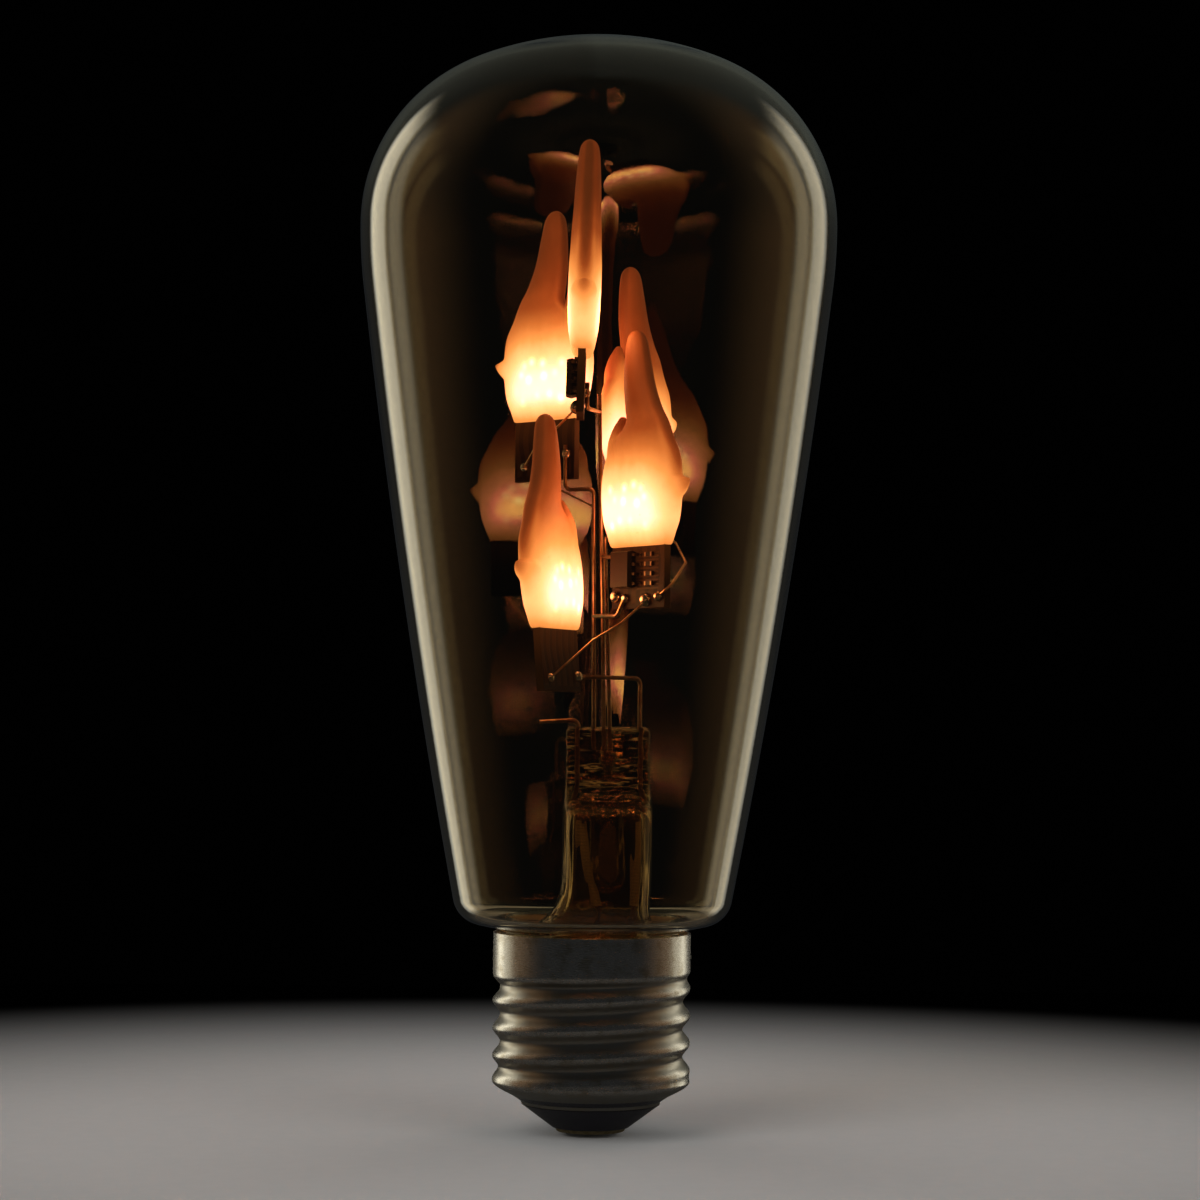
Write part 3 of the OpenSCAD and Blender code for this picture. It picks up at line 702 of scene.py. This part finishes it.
def glass_bulb():
    """The envelope: its profile with the wall's thickness, turned round the axis."""
    outside = glass_side(0) + neck_run(0)
    inside = glass_side(WALL) + neck_run(WALL)
    outside[0][0] = inside[0][0] = 0.0
    points, faces = lathe(outside + inside[::-1], 160)
    bulb = recalculated(mesh_piece("glass_bulb", points, faces, clear_glass))
    return finished(bulb, "clear_glass", "glass_envelope")


# -------- stem

# The stem stands a little to the right of the axis.
STEM_X, STEM_R, STEM_WALL = 1.9, 6.0, 0.9
# Height of the press's top and of its lower end, and its thickness.
PRESS_Z, PRESS_BASE, PRESS_T = 27.4, 20.0, 4.0
CAVITY_Z = PRESS_BASE - 2.4
RIM_Z = -NECK_DEPTH - 0.8
RIM_R = NECK_R - 0.1
# The flare's heights and outer radii, from the neck up to the tube.
FLARE = [(-3.8, 10.6), (-3, 9.6), (-2, 8.7), (-0.6, 7.8), (1.4, 6.9), (4, 6.25), (7, 6)]


def stem_lean(z):
    """Where the stem's middle is at a height, between the axis at its rim and STEM_X at its tube."""
    t = min(max((z - RIM_Z) / 14, 0), 1)
    return STEM_X * t * t * (3 - 2 * t)


def oval(x, a, b, z, square, count):
    """A ring round (x, 0) with half sizes a and b: an ellipse where square is 2, nearly a rectangle at 5."""
    ring = []
    for j in range(count):
        turn = 2 * math.pi * (j + 0.5) / count
        c, s = math.cos(turn), math.sin(turn)
        ring.append((
            x + a * math.copysign(abs(c) ** (2 / square), c),
            b * math.copysign(abs(s) ** (2 / square), s),
            z,
        ))
    return ring


def between(keys, s):
    """The keys' values at s, on a smooth curve through them."""
    last = len(keys) - 1
    i = min(int(s), last - 1)
    a, b, c, d = (np.array(keys[min(max(k, 0), last)], float) for k in (i - 1, i, i + 1, i + 2))
    t = s - i
    return b + (c - a) * t / 2 + (a - 2.5 * b + 2 * c - d / 2) * t**2 + (1.5 * (b - c) + (d - a) / 2) * t**3


def smooth_rings(keys, steps, count):
    """Oval rings (x, half width, half depth, height, squareness) on a smooth curve through the keys."""
    return [oval(*between(keys, s / steps), count) for s in range((len(keys) - 1) * steps + 1)]


def glass_stem():
    """The stem: up inside the flare and tube to the cavity's end, and up outside them to the press."""
    count = 72
    inside = [
        (STEM_X, STEM_R - 2.6, 1.0, CAVITY_Z + 0.1, 2.4),
        (STEM_X, STEM_R - 1.9, 1.7, CAVITY_Z - 0.3, 2.4),
        (STEM_X, STEM_R - STEM_WALL - 0.2, 3.3, CAVITY_Z - 1.3, 2.2),
        (STEM_X, STEM_R - STEM_WALL, STEM_R - STEM_WALL, CAVITY_Z - 3.1, 2),
    ]
    for z, r in reversed(FLARE):
        inside.append((stem_lean(z), r - STEM_WALL, r - STEM_WALL, z, 2))
    inside.append((0, RIM_R - 1, RIM_R - 1, RIM_Z, 2))
    outside = [
        (0, RIM_R, RIM_R, RIM_Z, 2),
        (0, RIM_R, RIM_R, -NECK_DEPTH, 2),
        (stem_lean(-NECK_DEPTH), RIM_R - 1, RIM_R - 1, -NECK_DEPTH, 2),
    ]
    wall = [(stem_lean(z), r, r, z, 2) for z, r in FLARE]
    wall += [
        (STEM_X, STEM_R, STEM_R, PRESS_BASE - 4.5, 2),
        (STEM_X, STEM_R - 0.1, 4.3, PRESS_BASE - 2.8, 2.3),
        (STEM_X, STEM_R - 0.25, 2.8, PRESS_BASE - 1.4, 3),
        (STEM_X, STEM_R - 0.35, PRESS_T / 2, PRESS_BASE, 4),
        (STEM_X, STEM_R - 0.4, PRESS_T / 2 - 0.12, PRESS_BASE + 3.4, 4),
        (STEM_X, STEM_R - 0.35, PRESS_T / 2, PRESS_Z - 1.1, 4),
        (STEM_X, STEM_R - 0.5, PRESS_T / 2 - 0.15, PRESS_Z - 0.35, 3.6),
        (STEM_X, STEM_R - 1.1, PRESS_T / 2 - 0.7, PRESS_Z, 3),
    ]
    rings = smooth_rings(inside, 5, count) + [oval(*k, count) for k in outside] + smooth_rings(wall, 6, count)
    points, faces = with_more(*skin(rings), *hole_in_press())
    stem = mesh_piece("glass_stem", points, faces, stem_glass)
    return finished(stem, "stem_glass", "stem_glass")


def hole_in_press():
    """The blown exhaust hole inside the press: an air space, so its faces point into it."""
    count, rows = 20, 10
    half_width, top_wider, half_depth, half_height, middle = 1.15, 0.25, 0.9, 1.5, PRESS_BASE + 2.9
    points = []
    for i in range(rows + 1):
        a = math.pi * i / rows
        wide = half_width + top_wider * math.cos(a)
        for b in turns(count):
            points.append((
                STEM_X + wide * math.sin(a) * math.cos(b),
                half_depth * math.sin(a) * math.sin(b),
                middle + half_height * math.cos(a),
            ))
    return points, tube_faces(rows + 1, count)


def exhaust_tip():
    """The exhaust tube hangs from the press and ends in a swollen, sealed tip."""
    r, bore, tip, low = 2.3, 1.4, 2.66, 5.2
    outside = [(r, CAVITY_Z), (r, low + 3 * tip), (r + 0.1, low + 2.2 * tip)]
    outside += [tuple(p) for p in arc((0, low + tip), tip, 0.35, -math.pi / 2, 14)]
    outside[-1] = (0.0, low)
    inside = [
        (0.0, low + 1.4), (0.5, low + 1.5), (0.98, low + 2),
        (bore - 0.05, low + 2.8), (bore, low + 3.6), (bore, CAVITY_Z),
    ]
    points, faces = lathe(outside + inside, 48)
    points = [(x + STEM_X, y, z) for x, y, z in points]
    tube = recalculated(mesh_piece("exhaust_tip", points, faces, stem_glass))
    return finished(tube, "stem_glass", "exhaust_tube")


# -------- flame modules

# Azimuth, distance of the board's middle, height of the flame's foot, sideways offset and lean.
MODULES = [
    (-25, 10.1, 39.9, -1, 5),
    (37, 9.9, 50.9, 0, 0),
    (145, 9.6, 61.5, 0, -1),
    (-132, 9.2, 68.8, 0, 0),
    (0, 9.7, 76, -2, -1.5),
]
FLAME_H, FLAME_T = 28.8, 4.3
# Width and thickness of a board, and how far it reaches below and above the flame's foot.
BOARD_W, BOARD_T, BOARD_TAIL, BOARD_HEAD = 11.1, 1.0, 8.0, 11.6
# The flame's sections: share of its height, inner and outer edge, share of its thickness, and squareness.
FLAME = [
    (0.006, -5.8, 5.8, 0.52, 4.2),
    (0.03, -6.15, 6.05, 0.68, 3.4),
    (0.06, -6.6, 6.5, 0.78, 2.8),
    (0.135, -7.6, 7.5, 0.93, 2.4),
    (0.27, -8.2, 8, 1, 2.2),
    (0.4, -7.5, 7.7, 1, 2.1),
    (0.49, -5.6, 6.3, 0.95, 2),
    (0.57, -2.9, 5, 0.91, 2),
    (0.64, -2.9, 3.5, 0.86, 2),
    (0.745, -3.2, 2, 0.81, 2),
    (0.87, -3.1, 1, 0.72, 2),
    (0.95, -2.8, 0.35, 0.62, 2),
    (0.985, -2.3, -0.3, 0.44, 2),
    (1, -1.7, -0.9, 0.2, 2),
]
# The lobe on the inner side and the horn on the outer one: out, up and radius.
LOBE = [(-4.7, 11.5, 1.8), (-4.9, 13.8, 1.6), (-4.7, 15.5, 1.2), (-4.3, 16.8, 0.75), (-4.1, 17.6, 0.4)]
HORN = [(6.2, 7.6, 1.75), (7.5, 7.8, 1.5), (8.6, 8.05, 1.0), (9.45, 8.3, 0.5), (10.05, 8.5, 0.15)]


def module_matrix(i):
    """Takes a point of module i, out, across and up, to its place in the bulb."""
    azimuth, distance, foot, side, lean = MODULES[i]
    return (
        Matrix.Translation((0, 0, foot))
        @ Matrix.Rotation(math.radians(azimuth - 90), 4, "Z")
        @ Matrix.Translation((distance, side, 0))
        @ Matrix.Rotation(math.radians(lean), 4, "X")
    )


def seated(i, points):
    """Points of module i in the bulb, in millimetres."""
    turn = module_matrix(i)
    return [tuple(turn @ Vector(p)) for p in points]


def tongue(path):
    """A round tapering tube with closed ends through (out, up, radius)."""
    count, steps = 20, 5
    fine = [between(path, s / steps) for s in range((len(path) - 1) * steps + 1)]
    rings = []
    for n, (x, z, r) in enumerate(fine):
        last, following = fine[max(n - 1, 0)], fine[min(n + 1, len(fine) - 1)]
        along = np.array([following[0] - last[0], following[1] - last[1]])
        along /= np.linalg.norm(along)
        flat = np.array([along[1], -along[0]])
        rings.append([
            (x + flat[0] * r * math.cos(a), r * math.sin(a), z + flat[1] * r * math.cos(a))
            for a in turns(count)
        ])
    return skin(rings)


def flame_sections():
    """The flame's sections on a smooth curve through the given ones."""
    steps = 6
    return [between(FLAME, s / steps) for s in range((len(FLAME) - 1) * steps + 1)]


def raw_flame():
    """Points and faces of the loft, the inner lobe and the outer horn, which run through each other."""
    rings = [
        oval((inner + outer) / 2, (outer - inner) / 2, thick * FLAME_T / 2, share * FLAME_H, square, 56)
        for share, inner, outer, thick, square in flame_sections()
    ]
    return with_more(*with_more(*skin(rings), *tongue(LOBE)), *tongue(HORN))


def melted(cover):
    """Runs the cover's parts together and softens it, as the mould does."""
    melt = cover.modifiers.new("melt", "REMESH")
    melt.mode = "VOXEL"
    melt.voxel_size = 0.24 * MM
    melt.use_smooth_shade = True
    soften = cover.modifiers.new("soften", "SMOOTH")
    soften.factor = 0.5
    soften.iterations = 7
    return applied(cover)


def nearness_to_rim(places):
    """How near each place is to the flame's outline: 0 in the middle, 1 at the edge."""
    share, inner, outer = np.array([section[:3] for section in flame_sections()]).T
    at = places[:, 2] / FLAME_H
    left, right = np.interp(at, share, inner), np.interp(at, share, outer)
    return np.abs(places[:, 0] - (left + right) / 2) / ((right - left) / 2)


def flame_cover(i):
    """One frosted cover, shaped in its module's own place, which its finish follows, and then seated."""
    cover = melted(recalculated(mesh_piece(f"flame_cover_{i + 1}", *raw_flame(), flame_silicone)))
    mesh = cover.data
    flat = np.empty(len(mesh.vertices) * 3)
    mesh.vertices.foreach_get("co", flat)
    own = flat.reshape(-1, 3) / MM
    mesh.attributes.new("module_place", "FLOAT_VECTOR", "POINT").data.foreach_set("vector", own.ravel())
    mesh.attributes.new("flame_rim", "FLOAT", "POINT").data.foreach_set("value", nearness_to_rim(own))
    turn = np.array(module_matrix(i))
    placed = own @ turn[:3, :3].T + turn[:3, 3]
    mesh.vertices.foreach_set("co", (placed * MM).ravel())
    mesh.update()
    return finished(cover, "flame_silicone", f"flame_{i + 1}")


def softened_box(low, high, bevel):
    """Points and faces of a box with its edges cut off at a bevel."""
    shape = bmesh.new()
    bmesh.ops.create_cube(shape, size=1)
    low, high = Vector(low), Vector(high)
    for v in shape.verts:
        v.co = Vector([(low[k] + high[k]) / 2 + v.co[k] * (high[k] - low[k]) for k in range(3)])
    bmesh.ops.bevel(shape, geom=list(shape.edges), offset=bevel, segments=2, profile=0.5, affect="EDGES")
    points = [tuple(v.co) for v in shape.verts]
    faces = [tuple(v.index for v in f.verts) for f in shape.faces]
    shape.free()
    return points, faces


def circuit_board(i):
    """One board, with its sawn edges a little worn."""
    low, high = (-BOARD_W / 2, -BOARD_T / 2, -BOARD_TAIL), (BOARD_W / 2, BOARD_T / 2, BOARD_HEAD)
    points, faces = softened_box(low, high, 0.06)
    board = mesh_piece(
        f"circuit_board_{i + 1}", seated(i, points), faces, module_laminate, smooth=False, module_place=points
    )
    return finished(board, "module_laminate", f"board_{i + 1}")


# -------- screw cap

SHELL_R, SHELL_WALL, SHELL_H = 13.15, 0.4, 20.0
# The shell's lower end tapers to a lip.
TAPER_H, LIP_R = 2.6, 9.2
THREAD_DEPTH, THREAD_PITCH = 1.0, 3.629
# How far down from the top edge the thread deepens, fades out again, and the taper runs.
THREAD_STARTS, THREAD_ENDS, TAPER = (4.9, 6.9), (17.2, 19.8), (19.6, 22.6)


def geometry_tree(name, inputs, build):
    """A geometry node tree with named number inputs. build(tree, inputs) returns its last geometry."""
    group = bpy.data.node_groups.new(name, "GeometryNodeTree")
    for label, value in inputs.items():
        socket = group.interface.new_socket(label, in_out="INPUT", socket_type="NodeSocketFloat")
        socket.default_value = value
    group.interface.new_socket("Geometry", in_out="OUTPUT", socket_type="NodeSocketGeometry")
    tree = Tree(group)
    entry = group.nodes.new("NodeGroupInput")
    numbers = {label: Value(tree, entry.outputs[label]) for label in inputs}
    tree.add("NodeGroupOutput", {}, {0: build(tree, numbers)})
    return group


def grown(name, group, values):
    """The piece that a geometry tree makes, as plain mesh."""
    piece = in_scene(name, bpy.data.meshes.new(name))
    modifier = piece.modifiers.new("grow", "NODES")
    modifier.node_group = group
    for item in group.interface.items_tree:
        if item.in_out == "INPUT" and item.name in values:
            modifier[item.identifier] = values[item.name]
    return applied(piece)


def reach(down, span):
    """0 before a span given in millimetres, and 1 past it."""
    return down.rise(span[0] * MM, span[1] * MM)


def rolled_thread(t, size):
    """A rolled screw shell: a grid whose columns run round and whose rows run down, bent into the shell."""
    columns, rows = 181, 151
    grid = t.add(
        "GeometryNodeMeshGrid", {},
        {"Size X": 1.0, "Size Y": 1.0, "Vertices X": columns, "Vertices Y": rows},
    )
    across, along, _ = t.add("GeometryNodeInputPosition", {}, {}).parts()
    angle = (across + 0.5) * (2 * math.pi)
    # Down the outside, from the top edge to the lower lip.
    down = (along + 0.5) * size["Height"]
    wave = (angle + down * (2 * math.pi) / size["Pitch"]).cosine()
    threaded = reach(down, THREAD_STARTS) * (1 - reach(down, THREAD_ENDS))
    straight = size["Crest radius"] - size["Depth"] * threaded * (0.5 - 0.5 * wave)
    taper = reach(down, TAPER)
    radius = straight * (1 - taper) + size["Lip radius"] * taper
    bent = t.vector(radius * angle.cosine(), radius * angle.sine(), -down)
    rolled = t.add("GeometryNodeSetPosition", {}, {"Geometry": grid, "Position": bent})
    welded = t.add("GeometryNodeMergeByDistance", {}, {"Geometry": rolled, "Distance": 1e-6})
    plain = t.add("GeometryNodeRealizeInstances", {}, {0: welded})
    smooth = t.add("GeometryNodeSetShadeSmooth", {}, {0: plain})
    return made_of(t, smooth, cap_metal)


def threaded_shell():
    """The screw shell: the thread's skin from the geometry tree, with its wall on the inside."""
    sizes = {
        "Crest radius": SHELL_R * MM,
        "Depth": THREAD_DEPTH * MM,
        "Pitch": THREAD_PITCH * MM,
        "Height": (SHELL_H + TAPER_H) * MM,
        "Lip radius": LIP_R * MM,
    }
    shell = recalculated(grown("threaded_shell", geometry_tree("rolled_thread", sizes, rolled_thread), sizes))
    wall = shell.modifiers.new("wall", "SOLIDIFY")
    wall.thickness = SHELL_WALL * MM
    wall.offset = -1
    wall.use_rim = True
    return finished(applied(shell), "cap_metal", "screw_shell")


# The wire from the driver to the shell, all on the back side: distance from the axis, and height.
SHELL_WIRE_R = 0.28
SHELL_WIRE = [
    (9, -9), (9, -7.4), (9.05, -6.5), (9.5, -6.05),
    (10.5, -6), (11.4, -6.02), (12, -6.25), (12.2, -6.9),
]


def earth_wire():
    """The wire crosses the cup's edge and ends in the thread's first crest, clear of the roots below."""
    points, faces = tongue([(out, up, SHELL_WIRE_R) for out, up in SHELL_WIRE])
    at_back = [(y, x, z) for x, y, z in points]
    wire = recalculated(mesh_piece("earth_wire", at_back, faces, copper_wire))
    return finished(wire, "nickel_wire", "shell_wire")


# -------- chips and resistors

def moved(t, shape, **how):
    """The shape with a Translation, Rotation or Scale."""
    return t.add("GeometryNodeTransform", {}, {"Geometry": shape, **how})


def box(t, size, middle):
    """A box of a size, moved to its middle."""
    cube = t.add("GeometryNodeMeshCube", {}, {"Size": t.vector(*size)})
    return moved(t, cube, Translation=t.vector(*middle))


def joined(t, *shapes):
    """Several shapes as one."""
    join = t.add("GeometryNodeJoinGeometry", {}, {})
    for shape in shapes:
        t.tree.links.new(shape.socket, join.socket.node.inputs[0])
    return join


def row_of(t, shape, count, pitch):
    """Copies of a shape along Y at a pitch, with the row's middle at the origin."""
    start, step = t.vector(0.0, (count - 1) * pitch * -0.5, 0.0), t.vector(0.0, pitch, 0.0)
    line = t.add(
        "GeometryNodeMeshLine", {"mode": "OFFSET"}, {"Count": count, "Start Location": start, "Offset": step}
    )
    placed = t.add("GeometryNodeInstanceOnPoints", {}, {"Points": line, "Instance": shape})
    return t.add("GeometryNodeRealizeInstances", {}, {0: placed})


def made_of(t, shape, paint):
    """The shape with a material's finish."""
    return t.add("GeometryNodeSetMaterial", {}, {"Geometry": shape, "Material": material(paint)})


def drafted_block(t, size, low, high, wide_end):
    """Half of a moulded package between two heights: a four-sided cone, a little narrower at one end."""
    corner, draft = math.sqrt(0.5), 0.93
    ends = {"Radius Bottom": corner, "Radius Top": corner}
    ends["Radius Top" if wide_end == "Bottom" else "Radius Bottom"] *= draft
    cone = t.add("GeometryNodeMeshCone", {}, {"Vertices": 4, "Depth": high - low, **ends})
    square = moved(t, cone, Rotation=(0, 0, math.pi / 4))
    scale = t.vector(size["Width"], size["Length"], 1.0)
    return moved(t, square, Scale=scale, Translation=t.vector(0.0, 0.0, low))


def leaded_package(t, size):
    """A moulded chip on the plane z = 0 with a row of gull-wing legs along each long side."""
    stand_off, leg_t = 0.1 * MM, 0.17 * MM
    middle = size["Height"] * 0.5 + stand_off / 2
    lower = drafted_block(t, size, stand_off, middle, "Top")
    upper = drafted_block(t, size, middle, size["Height"], "Bottom")
    side = size["Width"] * 0.5
    shoulder = box(t, (0.5 * MM, size["Leg width"], leg_t), (side + 0.2 * MM, 0.0, middle))
    riser = box(t, (leg_t, size["Leg width"], middle), (side + 0.45 * MM, 0.0, middle * 0.5))
    foot = box(t, (0.55 * MM, size["Leg width"], leg_t), (side + 0.72 * MM, 0.0, leg_t / 2))
    one_side = row_of(t, joined(t, shoulder, riser, foot), size["Legs"], size["Pitch"])
    other_side = moved(t, one_side, Rotation=(0, 0, math.pi))
    legs = made_of(t, joined(t, one_side, other_side), tinned_metal)
    return joined(t, made_of(t, joined(t, lower, upper), chip_resin), legs)


def resistor_row(t, size):
    """Chip resistors side by side on the plane z = 0, each with a tinned cap at both ends."""
    length, width, height = size["Length"], size["Width"], size["Height"]
    body = box(t, (length * 0.66, width * 0.96, height * 0.92), (0.0, 0.0, height * 0.5))
    caps = [box(t, (length * 0.19, width, height), (length * x, 0.0, height * 0.5)) for x in (-0.405, 0.405)]
    bodies = row_of(t, body, size["Count"], size["Pitch"])
    ends = row_of(t, joined(t, *caps), size["Count"], size["Pitch"])
    return joined(t, made_of(t, bodies, resistor_ceramic), made_of(t, ends, tinned_metal))


def on_component_face(piece, i, out, up):
    """Lays a piece that stands on z = 0 on module i's component face, with its length upright."""
    on_face = Matrix.Translation((out, -BOARD_T / 2, up)) @ Matrix.Rotation(math.pi / 2, 4, "X")
    turn = module_matrix(i) @ on_face
    turn.translation *= MM
    piece.data.transform(turn)
    return piece


LEG_PITCH = 1.27
CHIP_SIZE = {
    "Width": 3.9 * MM, "Length": 4.9 * MM, "Height": 1.5 * MM,
    "Legs": 4, "Pitch": LEG_PITCH * MM, "Leg width": 0.4 * MM,
}
RESISTOR_SIZE = {
    "Length": 1.5 * MM, "Width": 0.55 * MM, "Height": 0.45 * MM, "Count": 4, "Pitch": LEG_PITCH * MM,
}
# Where they sit on the board, out and up from the flame's foot.
CHIP_AT, RESISTORS_AT = (-2.2, -2.85), (2.6, -2.85)


def board_parts():
    """The control chip and the small resistors of each module."""
    package = geometry_tree("leaded_package", CHIP_SIZE, leaded_package)
    row = geometry_tree("resistor_row", RESISTOR_SIZE, resistor_row)
    for i in range(len(MODULES)):
        chip = on_component_face(grown(f"flicker_chip_{i + 1}", package, CHIP_SIZE), i, *CHIP_AT)
        finished(chip, "chip_resin", f"control_chip_{i + 1}")
        resistors = on_component_face(grown(f"resistor_row_{i + 1}", row, RESISTOR_SIZE), i, *RESISTORS_AT)
        finished(resistors, "resistor_chip", f"resistors_{i + 1}")


# -------- carried-over pieces

# The CAD nodes that keep their own mesh, beside the finish that each takes.
NODE_FINISHES = [
    (nickel_wire, [
        "main_post", "rear_post", "side_post", "left_lead", "right_lead", "top_arm", "upper_arm", "lower_arm",
    ]),
    (copper_wire, ["jumper_1_2", "jumper_2_3", "jumper_4_post", "jumper_5_4", "contact_wire"]),
    (sleeving, ["left_sleeve", "right_sleeve"]),
    (led_phosphor, [f"leds_{i}" for i in range(1, 6)]),
    (chip_resin, ["bridge_rectifier", "driver_chip"]),
    (solder, [f"solder_{i}" for i in range(1, 6)] + ["contact_solder"]),
    (black_insulator, ["cap_insulator"]),
    (contact_metal, ["centre_contact"]),
    (cement, ["neck_cement"]),
    (cup_plastic, ["driver_cup"]),
    (driver_laminate, ["driver_board"]),
    (capacitor_sleeve, ["filter_capacitor"]),
    (resistor_body, ["fusible_resistor"]),
]


def repaint(name, paint):
    """Gives a CAD node its finish."""
    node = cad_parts[name]
    node.data.materials.clear()
    node.data.materials.append(material(paint))


# -------- stage

def floor_paint(t):
    """Plain pale floor with a painted falloff of light: it darkens with distance into the dark round the
    object.
    """
    grey, pale_grey, dark = (0.62, 0.61, 0.59), (0.66, 0.65, 0.63), (0.0003, 0.0003, 0.0003)
    here = t.place()
    far = here.from_axis()
    pale = t.mix(t.noise(here, 0.4), grey, pale_grey)
    # Painted falloff of light: pale near the bulb, darkening to near black from 60 to 210 mm off the axis.
    floor = t.mix(far.rise(60, 210), pale, dark)
    # Glass and metal mirror only the near part, and darker, so that the bright sheets reach low down.
    mirrored = t.light_path("Glossy Depth").rise(0, 1)
    return t.finish(
        Base_Color=t.mix(mirrored * 0.8, floor, dark),
        Roughness=0.9,
        Specular_IOR_Level=0.0,
        Alpha=1 - mirrored * far.rise(40, 90),
    )


def pale_floor():
    """A square floor under the bulb's lowest point."""
    half, low = 230, cad_low[2] / MM
    corners = [(x, y, low) for x, y in ((-half, -half), (half, -half), (half, half), (-half, half))]
    mesh_piece("pale_floor", corners, [(0, 1, 2, 3)], floor_paint)


# Lamps: azimuth, distance, height, width, tallness, and level, where 1 is as bright as white.
LAMPS = {
    "front_left": (-35, 700, 420, 500, 500, 2.4),
    "front_right": (40, 700, 250, 500, 500, 1.4),
    "back_left": (-140, 500, 200, 300, 400, 0.8),
    "back_right": (140, 500, 200, 300, 400, 0.8),
}
# The height that they face.
LAMP_AIM_Z = 60


def softbox(name, azimuth, distance, height, width, tall, level):
    """A rectangular lamp that faces the bulb and isn't mirrored in it."""
    lamp = bpy.data.lights.new(name, "AREA")
    lamp.shape = "RECTANGLE"
    lamp.size, lamp.size_y = width * MM, tall * MM
    lamp.energy = level * math.pi * width * tall * MM * MM
    holder = in_scene(name, lamp)
    a = math.radians(azimuth)
    holder.location = Vector((distance * math.sin(a), -distance * math.cos(a), height)) * MM
    aim = Vector((0, 0, LAMP_AIM_Z * MM)) - holder.location
    holder.rotation_euler = aim.to_track_quat("-Z", "Y").to_euler()
    holder.visible_glossy = holder.visible_transmission = holder.visible_camera = False


def room(t):
    """Dark behind the bulb, and plain for matt surfaces. Glass and metal mirror a tall bright sheet behind
    each side, a dimmer one beside it, brown walls to the sides, and a grey sheen above and behind."""
    dark, plain_grey = (0.0002, 0.0002, 0.0002), (0.16, 0.16, 0.16)
    night, sheen_grey, wall_brown = (0.014, 0.015, 0.016), (0.05, 0.058, 0.055), (0.16, 0.1, 0.055)
    dim_sheet, bright_sheet = (0.55, 0.5, 0.38), (1.5, 1.42, 1.15)
    x, y, z = t.add("ShaderNodeTexCoord", {}, {}, out="Generated").parts()
    # Degrees from the front, the same on both sides.
    turn = abs(x).math("ARCTAN2", -y) * math.degrees(1)
    sheet_ends = 1 - abs(z - 0.05).rise(0.42, 0.62)
    sheet = turn.rise(122, 126) * (1 - turn.rise(139, 144)) * sheet_ends
    second = turn.rise(106, 112) * (1 - turn.rise(118, 123)) * sheet_ends
    walls = turn.rise(60, 100) * (1 - turn.rise(104, 125))
    walls = walls * (1 - (-z).rise(-0.1, 0.4)) * (1 - z.rise(0.6, 1.0))
    sheen = turn.rise(70, 150) * z.rise(0.1, 0.45)
    right = x.rise(-0.05, 0.05)
    # What is inside the bulb mirrors the sheets less than the bulb does.
    inside = t.light_path("Transmission Depth").rise(2, 3)
    sheet = sheet * (1 - right * 0.3) * (1 - inside * 0.65)
    second = second * (1 - inside * 0.5)
    walls = walls * (1 - inside * 0.4)
    mirrored = t.mix(sheen * (0.7 + right * 0.8), night, sheen_grey)
    mirrored = t.mix(walls, mirrored, wall_brown)
    mirrored = t.mix(second, mirrored, dim_sheet)
    mirrored = t.mix(sheet, mirrored, bright_sheet)
    seen = t.light_path("Is Camera Ray").most(t.light_path("Is Transmission Ray"))
    plain = t.mix(seen, plain_grey, dark)
    sky = t.mix(t.light_path("Glossy Depth").rise(0, 1), plain, mirrored)
    return t.add("ShaderNodeBackground", {}, {"Color": sky})


def studio():
    """Four lamps round the bulb, and the room."""
    for name, numbers in LAMPS.items():
        softbox(name, *numbers)
    world = bpy.context.scene.world = bpy.data.worlds.new("studio")
    world.use_nodes = True
    t = Tree(world.node_tree)
    t.add("ShaderNodeOutputWorld", {}, {"Surface": room(t)})


# The camera's place, its upward look and lean in degrees, and its focal length over the picture's width.
CAMERA_AT = (0.8, -399, 26.2)
CAMERA_UP, CAMERA_LEAN = 2.6, -0.55
FOCAL_SHARE = 2982 / 1200


def photo_camera():
    """The camera that took the photo, as fitted to the bulb's outline."""
    camera = bpy.data.cameras.new("photo_camera")
    camera.sensor_width = 36
    camera.lens = camera.sensor_width * FOCAL_SHARE
    camera.clip_start, camera.clip_end = 0.01, 10
    holder = in_scene("photo_camera", camera)
    holder.location = Vector(CAMERA_AT) * MM
    holder.rotation_euler = (math.radians(90 + CAMERA_UP), math.radians(CAMERA_LEAN), 0)
    bpy.context.scene.camera = holder


photo_camera()
studio()
pale_floor()
glass_bulb()
glass_stem()
exhaust_tip()
for module in range(len(MODULES)):
    flame_cover(module)
    circuit_board(module)
threaded_shell()
earth_wire()
board_parts()
for paint, names in NODE_FINISHES:
    for name in names:
        repaint(name, paint)

bpy.context.scene.view_settings.view_transform = "Standard"
